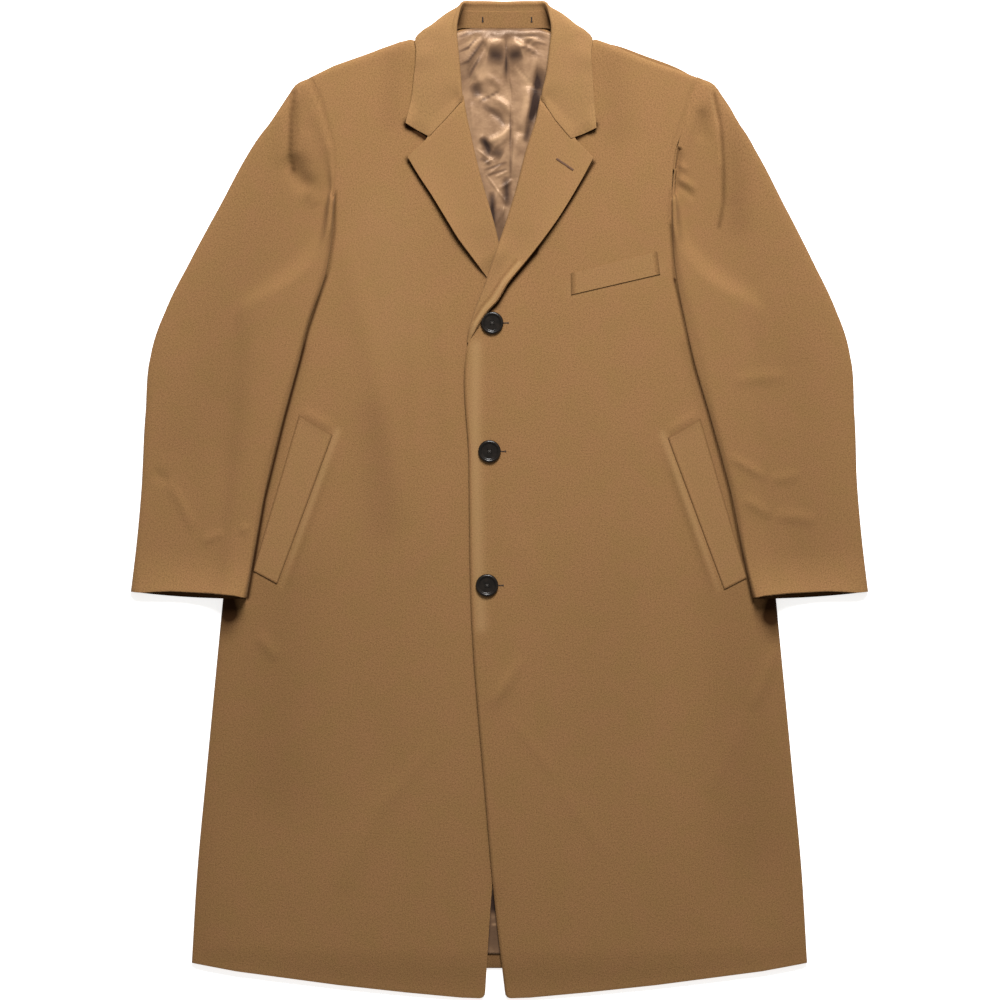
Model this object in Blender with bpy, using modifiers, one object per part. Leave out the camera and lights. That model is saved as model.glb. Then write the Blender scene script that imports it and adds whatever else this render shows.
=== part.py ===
"""A single-breasted wool overcoat, buttoned, lying on its back with its sleeves beside it.

Plan places are in millimetres: x to the viewer's right, y towards the collar, z up from the
surface. "Right" and "left" are the wearer's, so the right front lies at negative x and passes
under the left front. Every cloth piece is a grid of sections laid on what is beneath it.
"""

import math

import bmesh
import bpy
import numpy as np
from mathutils import Vector
from mathutils.bvhtree import BVHTree

MM = 0.001
GAP = 0.3
WOOL = 2.6
SLEEVE_WOOL = 2.3
LAPEL_WOOL = 2.8
WELT_WOOL = 2.2
SATIN = 1.0
BACK_WOOL = 2.4

ROW_STEP = 44.0
SIDE_ROLL = 9.0
LIFT_ROUNDS = 6
FACE_SAMPLES = 7
LIFT_REACH = 1.5
LIFT_CLEAR = 0.45
DRAPE_CLEAR = GAP + 0.15
ABOVE_ALL = 500.0
SURFACE = -1.0
MIDDLE_UP = (0.5, 0.5)
FOLD_HEIGHT = BACK_WOOL + GAP
ROLL_ANGLES = (0.0, 30.0, 60.0)
EDGE_ANGLES = (60.0, 0.0)

BACK_COLUMNS = 21
LINING_INSET = 14.0
LINING_CORNER = (218.0, 490.0)
LINING_BELOW_EDGE = 0.03
LINING_REACH = 14.0

FRONT_WIDTH = 320.0
FRONT_COLUMNS = 12
EDGE_FADE = 6
FRONT_CROWN = 0.7

BUTTON_RADIUS = 13.5
BUTTON_PLACES = ((-8.8, 210.3), (-11.9, 57.7), (-14.8, -101.5))
BUTTON_SIDES = 28
# A button's profile from the middle of its dish round to the middle of its back: the distance
# from the middle as a part of its radius, and the height.
BUTTON_PROFILE = (
    (0.0, 2.9),
    (0.55, 2.9),
    (0.66, 3.5),
    (0.76, 4.6),
    (0.88, 4.6),
    (0.97, 3.6),
    (1.0, 2.6),
    (0.9, 1.0),
    (0.6, 0.0),
    (0.0, 0.0),
)

NECK_LIFT = 3.0
NECK_LIFT_FROM = 506.0
NECK_LIFT_TO = 520.0
NECK_ROWS = (17.0, 11.0, 5.5)
NECK_LIFT_WIDE = 128.0
NECK_LIFT_EASE = 18.0
NECK_LIFT_MIDDLE = 540.0

COLOURS = {
    "wool": (0.36, 0.22, 0.105, 1.0),
    "satin": (0.42, 0.25, 0.15, 1.0),
    "horn": (0.018, 0.012, 0.010, 1.0),
}
ROUGHNESS = {"wool": 0.95, "satin": 0.38, "horn": 0.25}

# Sections of a front, hem to shoulder: side_w and side_y are the side or armhole end (w is the
# distance from the middle), under_x and over_x the front-edge end on the right and left front,
# edge_y its height; fold is 1 where the side rolls down to the back; the lofts lift the cloth.
# side_w, side_y, under_x, over_x, edge_y, fold, side_loft, crown_loft, edge_loft
FRONT = (
    (366.0, -550.4, -17.4, 7.4, -593.0, 1.0, 0.0, 1.2, 0.0),
    (359.4, -441.0, -10.1, -5.9, -476.6, 1.0, 0.4, 2.0, 0.2),
    (348.4, -322.0, 1.2, -17.3, -345.7, 1.0, 1.0, 2.6, 0.2),
    (330.2, -131.5, 11.9, -32.7, -149.3, 1.0, 1.4, 2.4, 0.2),
    (311.8, 59.0, 14.3, -36.3, 47.0, 1.0, 1.4, 2.4, 0.2),
    (298.7, 190.0, 14.3, -38.0, 182.7, 1.0, 1.2, 2.6, 0.2),
    (292.7, 237.4, 12.5, -24.0, 231.5, 0.9, 0.8, 2.8, 0.2),
    (264.2, 257.6, 3.0, -7.6, 271.9, 0.0, 0.4, 2.8, 0.2),
    (232.0, 282.6, -5.5, 5.6, 308.8, 0.0, 0.6, 3.0, 0.2),
    (204.7, 322.0, -16.6, 18.8, 350.5, 0.0, 1.2, 3.2, 0.2),
    (200.5, 363.5, -27.0, 29.0, 386.2, 0.0, 2.4, 3.2, 0.4),
    (203.8, 413.5, -37.8, 39.8, 427.8, 0.0, 3.2, 3.2, 0.6),
    (211.7, 448.0, -50.5, 55.5, 465.9, 0.0, 3.2, 3.2, 0.8),
    (220.4, 473.0, -63.0, 70.2, 505.2, 0.1, 2.6, 2.8, 0.8),
    (234.0, 497.0, -80.0, 88.0, 543.0, 1.0, 1.0, 1.6, 0.4),
)

# Points of the curved hem and shoulder between the two ends of a front, as parts of the way
# from the side to the front edge, with how far the seam leaves the straight line there.
HEM_CURVE = ((0.0, 0.0), (0.15, -3.6), (0.5, -5.2), (0.73, -4.2), (0.92, -2.4), (1.0, 0.0))
SHOULDER_CURVE = (
    (0.0, 0.0),
    (0.2, 6.4),
    (0.47, 8.6),
    (0.6, 9.8),
    (0.73, 10.4),
    (0.82, 9.4),
    (0.9, 4.6),
    (1.0, 0.0),
)

# Sections of the back, hem to neck: side_w and side_y are the ends, mid_y the middle.
BACK = (
    (365.2, -550.0, -556.9),
    (358.6, -441.0, -450.0),
    (347.6, -322.0, -336.0),
    (329.4, -131.5, -143.4),
    (311.0, 59.0, 53.0),
    (297.9, 190.0, 184.0),
    (291.5, 237.4, 231.0),
    (250.0, 275.5, 267.0),
    (224.0, 326.7, 318.0),
    (211.8, 386.2, 380.0),
    (217.8, 445.7, 440.0),
    (225.0, 474.0, 500.0),
    (233.4, 496.4, 557.6),
)

# The back's top edge from the shoulder's end to the middle of the neck: w and y.
BACK_TOP = (
    (233.4, 496.4),
    (203.5, 511.5),
    (164.2, 525.8),
    (126.1, 539.4),
    (113.0, 541.5),
    (105.0, 540.0),
    (98.0, 537.0),
    (90.0, 536.5),
    (80.0, 541.0),
    (70.0, 547.5),
    (60.0, 553.0),
    (48.0, 556.8),
    (20.0, 557.8),
    (0.0, 557.6),
)

# Sections of a sleeve's upper half, cuff to head: the outer and the inner fold, and how far the
# inner fold leans to the right of both sleeves' mean.
# outer_w, outer_y, inner_w, inner_y, lean, inner_fold, loft
SLEEVE = (
    (438.5, -108.3, 299.4, -116.6, 1.0, 1.0, 1.6),
    (432.6, -60.1, 291.6, -72.0, 1.8, 1.0, 1.0),
    (426.0, 11.3, 278.5, 1.8, 3.6, 1.0, 1.4),
    (421.3, 106.5, 255.8, 94.6, 5.4, 1.0, 1.8),
    (417.1, 166.0, 236.8, 160.1, 4.8, 1.0, 2.0),
    (398.6, 225.5, 222.5, 207.7, 3.6, 1.0, 2.2),
    (362.9, 296.9, 208.2, 267.2, 1.2, 1.0, 2.4),
    (324.6, 368.3, 201.6, 318.3, 0.0, 1.0, 2.4),
    (298.7, 415.9, 200.9, 342.1, 0.0, 0.8, 2.2),
    (274.9, 451.0, 200.5, 352.8, 0.0, 0.5, 2.0),
    (253.0, 481.0, 200.5, 358.8, 0.0, 0.2, 1.8),
    (234.4, 497.0, 200.2, 363.3, 0.0, 0.0, 1.6),
)
HEAD_SEAM_CURVE = ((0.0, 0.0), (0.2, -7.0), (0.4, -10.0), (0.65, -8.6), (0.85, -4.4), (1.0, 0.0))

UNDER_COLUMNS = 13
UNDER_INSET = 0.8
ARMHOLE_FADE_FROM = 0.55
SLEEVE_WIDTH = 160.0
SLEEVE_COLUMNS = 8
SLEEVE_CROWN = 0.5
HEAD_FADE = 5
FOLD_REACH = 1.0
FOLD_CLEAR = 0.2

# The under half follows the first rows of SLEEVE, then these to the hidden armhole.
UNDER_ROWS = 4
# outer_w, outer_y, inner_w, inner_y
UNDER_SLEEVE = (
    (408.2, 201.7, 226.1, 195.8),
    (379.6, 264.8, 215.4, 237.4),
    (336.8, 346.9, 206.5, 279.1),
    (287.4, 433.8, 201.6, 320.7),
    (236.0, 496.4, 201.4, 362.5),
)
# The hidden armhole, shoulder to armpit along the back, then up the front: w and y.
ARMHOLE = (
    (236.0, 496.4),
    (219.4, 445.7),
    (213.6, 386.2),
    (227.8, 326.7),
    (258.0, 275.5),
    (301.0, 234.0),
    (272.5, 246.4),
    (244.2, 261.6),
    (217.0, 290.5),
    (203.2, 325.5),
    (201.4, 362.5),
)

# Sections of a lapel: roll_x, roll_y at the roll line, leaf_x, leaf_y at the free edge, and
# spring, how far the cloth stands off what it lies on near the roll.
LAPEL_RIGHT = (
    (-42.8, 472.1, -108.9, 407.3, 1.6),
    (-36.3, 445.7, -97.0, 387.3, 1.6),
    (-29.2, 413.5, -80.9, 362.9, 1.4),
    (-19.6, 375.4, -63.1, 333.8, 1.2),
    (-10.1, 343.3, -48.8, 310.6, 0.8),
    (-0.6, 306.4, -31.5, 287.4, 0.3),
    (5.0, 275.5, -14.3, 264.0, 0.0),
)
LAPEL_LEFT = (
    (48.8, 472.1, 111.6, 406.7, 1.6),
    (41.1, 445.7, 100.0, 385.0, 1.6),
    (30.7, 413.5, 83.3, 356.4, 1.4),
    (21.4, 376.6, 67.8, 332.0, 1.2),
    (11.7, 344.0, 50.0, 307.6, 0.8),
    (-0.7, 306.4, 28.6, 280.8, 0.5),
    (-11.5, 274.3, 8.3, 255.8, 0.2),
    (-22.6, 242.2, -5.5, 233.1, 0.0),
    (-32.7, 212.4, -22.6, 215.6, 0.0),
)
LAPEL_ROLL = 3.6
LAPEL_EDGE_DROP = 0.8
LAPEL_STEP = 26.0
LAPEL_REACH = 1.4
LAPEL_WALL = LAPEL_WOOL - 0.2
ROLL_TURN = (90.0, 65.0, 40.0, 14.0)
LAPEL_ACROSS = (0.0, 0.04, 0.2, 0.4, 0.6, 0.8)

# Stations of the collar from the middle of the back to its front end, each a section of points
# (w, y, z): seam, where the stand joins; roll, the crest of its fold; top, edge, mid and leaf,
# across the fall, edge being where the fall turns down over the shoulder; then radius, of the
# roll, and turn, which way the roll faces, from outwards (0) over upwards (90) to the neck (180).
COLLAR = (
    (0, 577, 5.4, 0, 592.8, 2.7, 0, 583, 0, 0, 570, 0, 0, 552, 0, 0, 532.5, 0, 2.7, 0),
    (32, 577.6, 5.4, 35, 593.6, 2.7, 37, 583, 0, 38, 570, 0, 39, 552, 0, 42, 532.5, 0, 2.7, 0),
    (45, 576, 6.4, 50, 591, 5, 55, 586, 2.4, 60, 581, 0.8, 66, 560, 0, 70, 533, 0, 3, 25),
    (50, 571, 8, 53.5, 583, 10.4, 62, 582.4, 8.6, 69.5, 578, 4.4, 76, 561, 0.4, 84, 536, 0, 3.2, 70),
    (55, 563, 9.4, 56.5, 566, 15.8, 75, 568, 15.8, 86.5, 565, 8.4, 91, 556, 1.6, 96, 541, 0, 3.4, 120),
    (59.5, 552, 10, 56, 554, 15.4, 78, 556, 17.6, 98, 556, 13, 102, 553.6, 11, 105, 550, 9.6, 3.4, 150),
    (63, 541, 9.8, 54.4, 541, 14.6, 74, 541, 17.8, 91, 538, 17.4, 98, 536, 16.4, 104, 533, 14.8, 3.6, 165),
    (60, 505, 8.8, 50.4, 505, 13, 70, 505, 16.8, 88, 504, 16.4, 97, 504, 15.6, 106, 504, 14, 3.6, 170),
)
# The last two stations on each side: the front end follows the gorge seam, then the notch.
COLLAR_END = {
    -1: (
        (54.5, 488, 8.4, 48.8, 487.3, 12.4, 68, 479, 16.4, 88, 467, 16, 98, 469, 15.2, 109, 476, 14)
        + (3.6, 172),
        (51, 475.5, 8, 47, 472.7, 12, 67, 454, 16, 87.6, 432, 15.6, 101, 439, 14.8, 115.6, 447.8, 13.6)
        + (3.6, 174),
    ),
    1: (
        (52, 488, 8.4, 46.4, 487.3, 12.4, 64, 478, 16.4, 83, 465, 16, 95, 467, 15.2, 108.2, 473, 14)
        + (3.6, 172),
        (48.8, 475.5, 8, 44.6, 472.7, 12, 62, 452, 16, 81.2, 429.4, 15.6, 96, 435, 14.8, 111.3, 442, 13.6)
        + (3.6, 174),
    ),
}
COLLAR_POINTS = 6
SPAN_PARTS = (0.5, 1.0)
COLLAR_STEP = 11.0
FOLD_ANGLES = (90.0, 45.0, 0.0, -45.0, -90.0)

ABOVE_FRONTS = 9.0
COLLAR_UP = (0.0, 0.9)
COLLAR_REACH = 1.0
COLLAR_WALL = WOOL - 0.2
STAND_PARTS = (0.0, 0.33, 0.67, 1.0)
STAND_GAP = 1.0

# The stand's neck seam at the collar's stations: w, y and z of its inner face.
STAND_FOOT = (
    (0.0, 558.4, 5.4),
    (32.0, 558.8, 5.4),
    (44.0, 559.2, 5.8),
    (52.0, 557.0, 7.0),
    (60.0, 552.5, 7.2),
    (70.0, 547.0, 7.2),
    (75.0, 538.0, 7.2),
    (62.0, 505.0, 7.2),
)
STAND_END = {
    -1: ((57.0, 489.0, 6.2), (51.5, 476.5, 5.8)),
    1: ((55.0, 489.0, 6.2), (49.5, 476.5, 5.8)),
}
STAND_WOOL = 1.8

# The middle line leans a little: its x at three heights.
MIDDLE_Y = (-556.0, 238.0, 474.0, 560.0)
MIDDLE_X = (-1.8, 2.0, 4.2, 5.4)

# Corners of the welts, from the outer top corner round by the inner long edge.
WELT_GRID = (8, 4)
POCKET_RIGHT = ((-238.1, 101.5), (-198.3, 77.6), (-264.3, -100.0), (-292.6, -84.6))
POCKET_LEFT = ((238.7, 97.0), (199.9, 74.3), (267.2, -106.7), (294.0, -92.8))
BREAST = ((84.8, 269.5), (187.4, 295.7), (191.0, 268.3), (85.1, 243.8))

# Long soft folds: x and y of both ends, half width and height.
FRONT_FOLDS = (
    (-76.0, -285.0, -147.0, -372.0, 30.0, 1.4),
    (7.0, -254.0, 138.0, -429.0, 30.0, 1.6),
    (28.0, -187.0, -13.0, -247.0, 26.0, 1.0),
    (328.0, -172.0, 251.0, -352.0, 32.0, 1.4),
    (-289.0, -160.0, -264.0, -190.0, 28.0, 1.0),
)
SLEEVE_FOLDS = (
    (-397.0, 24.0, -364.0, -37.0, 24.0, 1.6),
    (276.0, 140.0, 343.0, 147.0, 24.0, 1.2),
    (271.0, 52.0, 319.0, 24.0, 24.0, 1.4),
    (288.0, 2.0, 378.0, -26.0, 26.0, 1.8),
    (-246.0, 484.0, -248.0, 372.0, 18.0, 1.6),
    (258.0, 482.0, 266.0, 372.0, 20.0, 1.4),
)


def clear_scene():
    """Remove every object of the startup scene."""
    for thing in list(bpy.data.objects):
        bpy.data.objects.remove(thing, do_unlink=True)


def make_material(kind):
    """Return the plain Principled material of one kind of cloth or horn."""
    material = bpy.data.materials.new(kind)
    material.use_nodes = True
    shader = material.node_tree.nodes["Principled BSDF"]
    shader.inputs["Base Color"].default_value = COLOURS[kind]
    shader.inputs["Roughness"].default_value = ROUGHNESS[kind]
    shader.inputs["Metallic"].default_value = 0.0
    return material


class Pile:
    """The pieces laid down so far, and how high they reach above a place."""

    def __init__(self):
        self.points = []
        self.faces = []
        self.tree = None

    def add(self, piece):
        """Add the evaluated mesh of a piece, in millimetres."""
        evaluated = piece.evaluated_get(bpy.context.evaluated_depsgraph_get())
        mesh = evaluated.to_mesh()
        first = len(self.points)
        self.points += [evaluated.matrix_world @ vert.co / MM for vert in mesh.vertices]
        self.faces += [[first + index for index in face.vertices] for face in mesh.polygons]
        evaluated.to_mesh_clear()
        self.tree = BVHTree.FromPolygons(self.points, self.faces)

    def top(self, x, y, reach):
        """Return the highest point within reach of a place, or 0 on the bare surface."""
        highest = 0.0
        for turn in range(5):
            angle = math.pi * (turn + 0.5) / 2
            away = 0.0 if turn == 0 else reach
            start = Vector((x + away * math.cos(angle), y + away * math.sin(angle), ABOVE_ALL))
            place = self.tree.ray_cast(start, Vector((0, 0, -1)))[0]
            if place is not None:
                highest = max(highest, place.z)
        return highest

    def tops(self, plan, reach=2.0):
        """Return the heights under a grid of plan places."""
        if self.tree is None:
            return np.zeros(plan.shape[:-1])
        found = [self.top(x, y, reach) for x, y in plan.reshape(-1, 2)]
        return np.array(found).reshape(plan.shape[:-1])

    def drape(self, plan, rounds=4, reach=2.0, clear=DRAPE_CLEAR):
        """Return heights just clear of the pile, bridging its steps as stiff cloth does."""
        held = self.tops(plan, reach)
        held = np.where(held > 0, held + clear, 0.0)
        height = held.copy()
        for _ in range(rounds):
            wide = np.pad(height, 1, mode="edge")
            mean = (wide[:-2, 1:-1] + wide[2:, 1:-1] + wide[1:-1, :-2] + wide[1:-1, 2:]) / 4
            height = np.maximum(held, mean)
        return height


def smooth_rows(table, step, closing=()):
    """Return rows on smooth curves through a table's rows, about step apart.

    Columns 0 to 3 hold the plan places of a section's two ends. Closing lists distances from
    the last row at which rows are added, for a rolled edge.
    """
    rows = np.array(table, float)
    moves = np.diff(rows, axis=0)
    spans = (np.hypot(moves[:, 0], moves[:, 1]) + np.hypot(moves[:, 2], moves[:, 3])) / 2
    knots = np.concatenate([[0.0], np.cumsum(spans)])
    slopes = np.gradient(rows, knots, axis=0)
    places = []
    for start, span in zip(knots, spans):
        parts = max(1, round(span / step))
        places += [start + span * part / parts for part in range(parts)]
    places = [place for place in places if place < knots[-1] - 1.3 * max(closing, default=0.0)]
    places += [knots[-1] - away for away in closing] + [knots[-1]]
    return np.array([on_curve(place, knots, rows, slopes) for place in places])


def on_curve(place, knots, rows, slopes):
    """Return the point of a smooth curve at a distance along it."""
    index = min(int(np.searchsorted(knots, place, side="right")) - 1, len(knots) - 2)
    span = knots[index + 1] - knots[index]
    t = (place - knots[index]) / span
    return (
        rows[index] * (1 + 2 * t) * (1 - t) ** 2
        + slopes[index] * span * t * (1 - t) ** 2
        + rows[index + 1] * t * t * (3 - 2 * t)
        + slopes[index + 1] * span * t * t * (t - 1)
    )


def along(points, parts):
    """Return points of a smooth curve at the given parts of its length."""
    points = np.array(points, float)
    spans = np.linalg.norm(np.diff(points, axis=0), axis=1)
    knots = np.concatenate([[0.0], np.cumsum(spans)])
    slopes = np.gradient(points, knots, axis=0)
    return np.array([on_curve(part * knots[-1], knots, points, slopes) for part in parts])


def spread_out(points):
    """Return points of a smooth curve past its first point, with more between each two."""
    points = np.array(points)
    spans = np.linalg.norm(np.diff(points, axis=0), axis=1)
    knots = np.concatenate([[0.0], np.cumsum(spans)])
    slopes = np.gradient(points, knots, axis=0)
    places = [start + span * part for start, span in zip(knots, spans) for part in SPAN_PARTS]
    return np.array([on_curve(place, knots, points, slopes) for place in places])


def roll_columns(width, rolls_start, rolls_end, even):
    """Return places across a section from 0 to 1, and how far down its rolled edges go there.

    The second list is 1 on the flat cloth and 0 at the very edge of a roll.
    """
    share = SIDE_ROLL / width
    turns = [math.radians(angle) for angle in ROLL_ANGLES]
    rolled = [(share * (1 - math.cos(turn)), math.sin(turn)) for turn in turns]
    first = share if rolls_start else 0.0
    last = 1 - share if rolls_end else 1.0
    flat = [(first + (last - first) * part / even, 1.0) for part in range(even + 1)]
    columns = (rolled if rolls_start else []) + flat
    if rolls_end:
        columns += [(1 - place, height) for place, height in reversed(rolled)]
    return np.array(columns).T


def mirror_x(rows, columns, side):
    """Return rows whose given columns, widths from the middle, are x on one side."""
    rows = np.array(rows, float)
    rows[:, columns] *= side
    return rows


def middle(y):
    """Return the x of the coat's middle line at a height."""
    return np.interp(y, MIDDLE_Y, MIDDLE_X)


def fold_lift(plan, folds):
    """Return how far long soft folds raise the cloth at plan places."""
    lift = np.zeros(plan.shape[:-1])
    for x0, y0, x1, y1, half_width, height in folds:
        start = np.array((x0, y0))
        run = np.array((x1, y1)) - start
        part = np.clip(((plan - start) @ run) / (run @ run), 0.0, 1.0)
        away = np.linalg.norm(plan - start - part[..., None] * run, axis=-1)
        lift += height * np.exp(-((away / half_width) ** 2) * 2)
    return lift


def sections(rows, across):
    """Return the grid of places on straight sections between each row's two ends."""
    start = rows[:, None, 0:2]
    end = rows[:, None, 2:4]
    return start + (end - start) * across[None, :, None]


def row_parts(rows):
    """Return how far along the piece each row lies, from 0 to 1."""
    moves = np.diff(rows, axis=0)
    spans = (np.hypot(moves[:, 0], moves[:, 1]) + np.hypot(moves[:, 2], moves[:, 3])) / 2
    return np.concatenate([[0.0], np.cumsum(spans)]) / spans.sum()


def smooth_step(value):
    """Return a value clipped to 0..1 and eased at both ends."""
    value = np.clip(value, 0.0, 1.0)
    return value * value * (3 - 2 * value)


def crown(across, power):
    """Return the height of a crowned section, 0 at its ends and 1 half way."""
    return np.clip(np.sin(math.pi * across), 0.0, 1.0) ** power


def make_cloth(
    name, points, thickness, material, collection, pile=None, facing_up=MIDDLE_UP, lowest=SURFACE
):
    """Make a cloth piece whose outer face runs through a grid of points, with its wall inside.

    facing_up is where on the grid, as parts of its rows and columns, the outer face looks up.
    Over a pile, the wall is lifted clear of it wherever it is higher than lowest.
    """
    rows, columns = points.shape[:2]
    row, column = (int(part * (count - 2)) for part, count in zip(facing_up, (rows, columns)))
    corner, beside, beyond = (
        points[row, column],
        points[row, column + 1],
        points[row + 1, column],
    )
    if np.cross(beside - corner, beyond - corner)[2] < 0:
        points = points[:, ::-1]
    form = bmesh.new()
    bmesh.ops.create_grid(form, x_segments=columns - 1, y_segments=rows - 1, size=1.0)
    form.verts.ensure_lookup_table()
    for vert, place in zip(form.verts, points.reshape(-1, 3)):
        vert.co = Vector(place) * MM
    mesh = bpy.data.meshes.new(name)
    form.to_mesh(mesh)
    form.free()
    mesh.materials.append(material)
    mesh.shade_smooth()
    piece = bpy.data.objects.new(name, mesh)
    collection.objects.link(piece)
    wall = piece.modifiers.new("Wall", "SOLIDIFY")
    wall.thickness = thickness * MM
    wall.offset = -1.0
    bpy.context.view_layer.update()
    if pile is not None:
        fix_wall(piece)
        lift_clear(piece, pile, lowest)
    return piece


def fix_wall(piece):
    """Make the Solidify wall part of the piece's own mesh, in triangles."""
    graph = bpy.context.evaluated_depsgraph_get()
    mesh = bpy.data.meshes.new_from_object(piece.evaluated_get(graph))
    form = bmesh.new()
    form.from_mesh(mesh)
    bmesh.ops.triangulate(form, faces=form.faces, quad_method="SHORT_EDGE")
    form.to_mesh(mesh)
    form.free()
    piece.modifiers.clear()
    piece.data = mesh


def lift_clear(piece, pile, lowest):
    """Raise a wall's points wherever its faces would cut into what it lies on.

    Faces with a corner under the height lowest lie beside the pile or beneath it, and stay.
    """
    verts = piece.data.vertices
    half = len(verts) // 2
    samples = triangle_samples()
    for _ in range(LIFT_ROUNDS):
        places = np.array([vert.co for vert in verts]) / MM
        lifts = np.zeros(len(verts))
        for face in piece.data.polygons:
            index = list(face.vertices)
            corners = places[index]
            if corners[:, 2].min() < lowest:
                continue
            need = 0.0
            for weights in samples:
                x, y, z = weights @ corners
                need = max(need, pile.top(x, y, LIFT_REACH) + LIFT_CLEAR - z)
            lifts[index] = np.maximum(lifts[index], need)
        lifts[:half] = np.maximum(lifts[:half], lifts[half:])
        if lifts.max() < 0.001:
            break
        for vert, lift in zip(verts, lifts):
            vert.co.z += lift * MM
    bpy.context.view_layer.update()


def triangle_samples():
    """Return the corner weights of points spread over a triangle."""
    steps = range(FACE_SAMPLES)
    last = FACE_SAMPLES - 1
    return [np.array((a, b, last - a - b)) / last for a in steps for b in steps if a + b <= last]


def back_floor(plan):
    """Return the height of the back's under face: flat, but lifted over the collar's fall."""
    away = np.abs(plan[..., 0] - middle(NECK_LIFT_MIDDLE))
    wide = smooth_step((NECK_LIFT_WIDE - away) / NECK_LIFT_EASE)
    high = smooth_step((plan[..., 1] - NECK_LIFT_FROM) / (NECK_LIFT_TO - NECK_LIFT_FROM))
    return NECK_LIFT * wide * high


def back_plan(rows, across, top_edge):
    """Return the back's plan: sections that dip from the sides to the middle of each row."""
    half = np.abs(2 * across - 1)
    parts = row_parts(rows)
    plan = np.empty((len(rows), len(across), 2))
    plan[..., 0] = rows[:, None, 0] * (2 * across - 1)[None, :]
    dip = (1 - half**2)[None, :] * (rows[:, 4] - rows[:, 1])[:, None]
    plan[..., 1] = rows[:, None, 1] + dip
    edge = along(top_edge, 1 - half)
    edge[:, 0] *= np.sign(2 * across - 1)
    fade = (parts**EDGE_FADE)[:, None, None]
    plan += fade * (edge - plan[-1])
    plan[..., 0] += middle(plan[..., 1]) * (1 - half)[None, :]
    return plan


def make_back(materials, collection):
    """Make the back panel, flat where it rests."""
    table = [(w, y, w, y, mid) for w, y, mid in BACK]
    rows = smooth_rows(table, ROW_STEP, NECK_ROWS)
    across = np.linspace(0, 1, BACK_COLUMNS)
    plan = back_plan(rows, across, BACK_TOP)
    points = np.dstack([plan, back_floor(plan) + BACK_WOOL])
    return make_cloth("back", points, BACK_WOOL, materials["wool"], collection)


def make_back_lining(pile, materials, collection):
    """Make the satin lining of the back, just above it and short of its edges and hem."""
    table = [(w - LINING_INSET, y, w - LINING_INSET, y, mid) for w, y, mid in BACK]
    hem = np.array(table[0])
    hem[[1, 3, 4]] += LINING_INSET
    table[0] = tuple(hem)
    top_w, top_y = LINING_CORNER
    table[-1] = (top_w, top_y, top_w, top_y, BACK[-1][2])
    rows = smooth_rows(table, ROW_STEP, NECK_ROWS)
    across = np.linspace(0, 1, BACK_COLUMNS)
    top_edge = [(min(w, top_w), y - LINING_BELOW_EDGE * w) for w, y in BACK_TOP]
    plan = back_plan(rows, across, top_edge)
    points = np.dstack([plan, pile.tops(plan, LINING_REACH) + GAP + SATIN])
    return make_cloth("back_lining", points, SATIN, materials["satin"], collection, pile)


def front_rows(side):
    """Return a front's section rows as plan ends, fold and lofts for one side of the coat."""
    table = []
    for side_w, side_y, under_x, over_x, edge_y, fold, *lofts in FRONT:
        edge_x = under_x if side < 0 else over_x
        table.append((side * side_w, side_y, edge_x, edge_y, fold, *lofts))
    closing = [SIDE_ROLL * math.cos(math.radians(angle)) for angle in reversed(EDGE_ANGLES)]
    return smooth_rows(table, ROW_STEP, closing)


def make_front(name, side, pile, materials, collection):
    """Make a front from its sections, rolled down to the back at the side and the shoulder."""
    rows = front_rows(side)
    across, down = roll_columns(FRONT_WIDTH, True, False, FRONT_COLUMNS)
    parts = row_parts(rows)
    plan = sections(rows, across)
    hem = np.interp(across, *np.array(HEM_CURVE).T)
    shoulder = np.interp(across, *np.array(SHOULDER_CURVE).T)
    plan[..., 1] += ((1 - parts) ** EDGE_FADE)[:, None] * hem
    plan[..., 1] += (parts**EDGE_FADE)[:, None] * shoulder
    fold, side_loft, crown_loft, edge_loft = (rows[:, column, None] for column in range(4, 8))
    ends = side_loft + (edge_loft - side_loft) * across
    loft = ends + (crown_loft - ends) * crown(across, FRONT_CROWN)
    top = pile.drape(plan) + WOOL + loft + fold_lift(plan, FRONT_FOLDS)
    rolled = 1 - np.clip(fold, 0, 1) * (1 - down)
    top = FOLD_HEIGHT + (top - FOLD_HEIGHT) * rolled
    for row, turn in zip((-2, -1), EDGE_ANGLES):
        height = math.sin(math.radians(turn))
        lowest = FOLD_HEIGHT + back_floor(plan[row])
        top[row] = np.minimum(top[row], lowest + (top[-3] - lowest) * height)
    points = np.dstack([plan, top])
    return make_cloth(name, points, WOOL, materials["wool"], collection, pile)


def make_lapel(name, table, pile, materials, collection):
    """Make a lapel: its leaf lies on the front and its roll curls under at the roll line."""
    rows = smooth_rows(table, LAPEL_STEP)
    inward = rows[:, 0:2] - rows[:, 2:4]
    inward /= np.linalg.norm(inward, axis=1, keepdims=True)
    crest = rows[:, 0:2] - inward * LAPEL_ROLL
    across = np.array(LAPEL_ACROSS + (1.0,))
    plan = sections(np.hstack([rows[:, 2:4], crest]), across)
    held = pile.drape(plan, rounds=2, reach=LAPEL_REACH)
    top = held + LAPEL_WOOL + rows[:, 4, None] * across[None, :] ** 1.5
    top[:, 0] -= LAPEL_EDGE_DROP
    grid = [np.dstack([plan, top])[:, :-1]]
    for angle in ROLL_TURN:
        turn = math.radians(angle)
        away = crest + inward * LAPEL_ROLL * math.cos(turn)
        height = top[:, -1] - LAPEL_ROLL * (1 - math.sin(turn))
        grid.append(np.dstack([away[:, None], height[:, None]]))
    points = np.concatenate(grid, axis=1)
    return make_cloth(name, points, LAPEL_WALL, materials["wool"], collection, pile)


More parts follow.
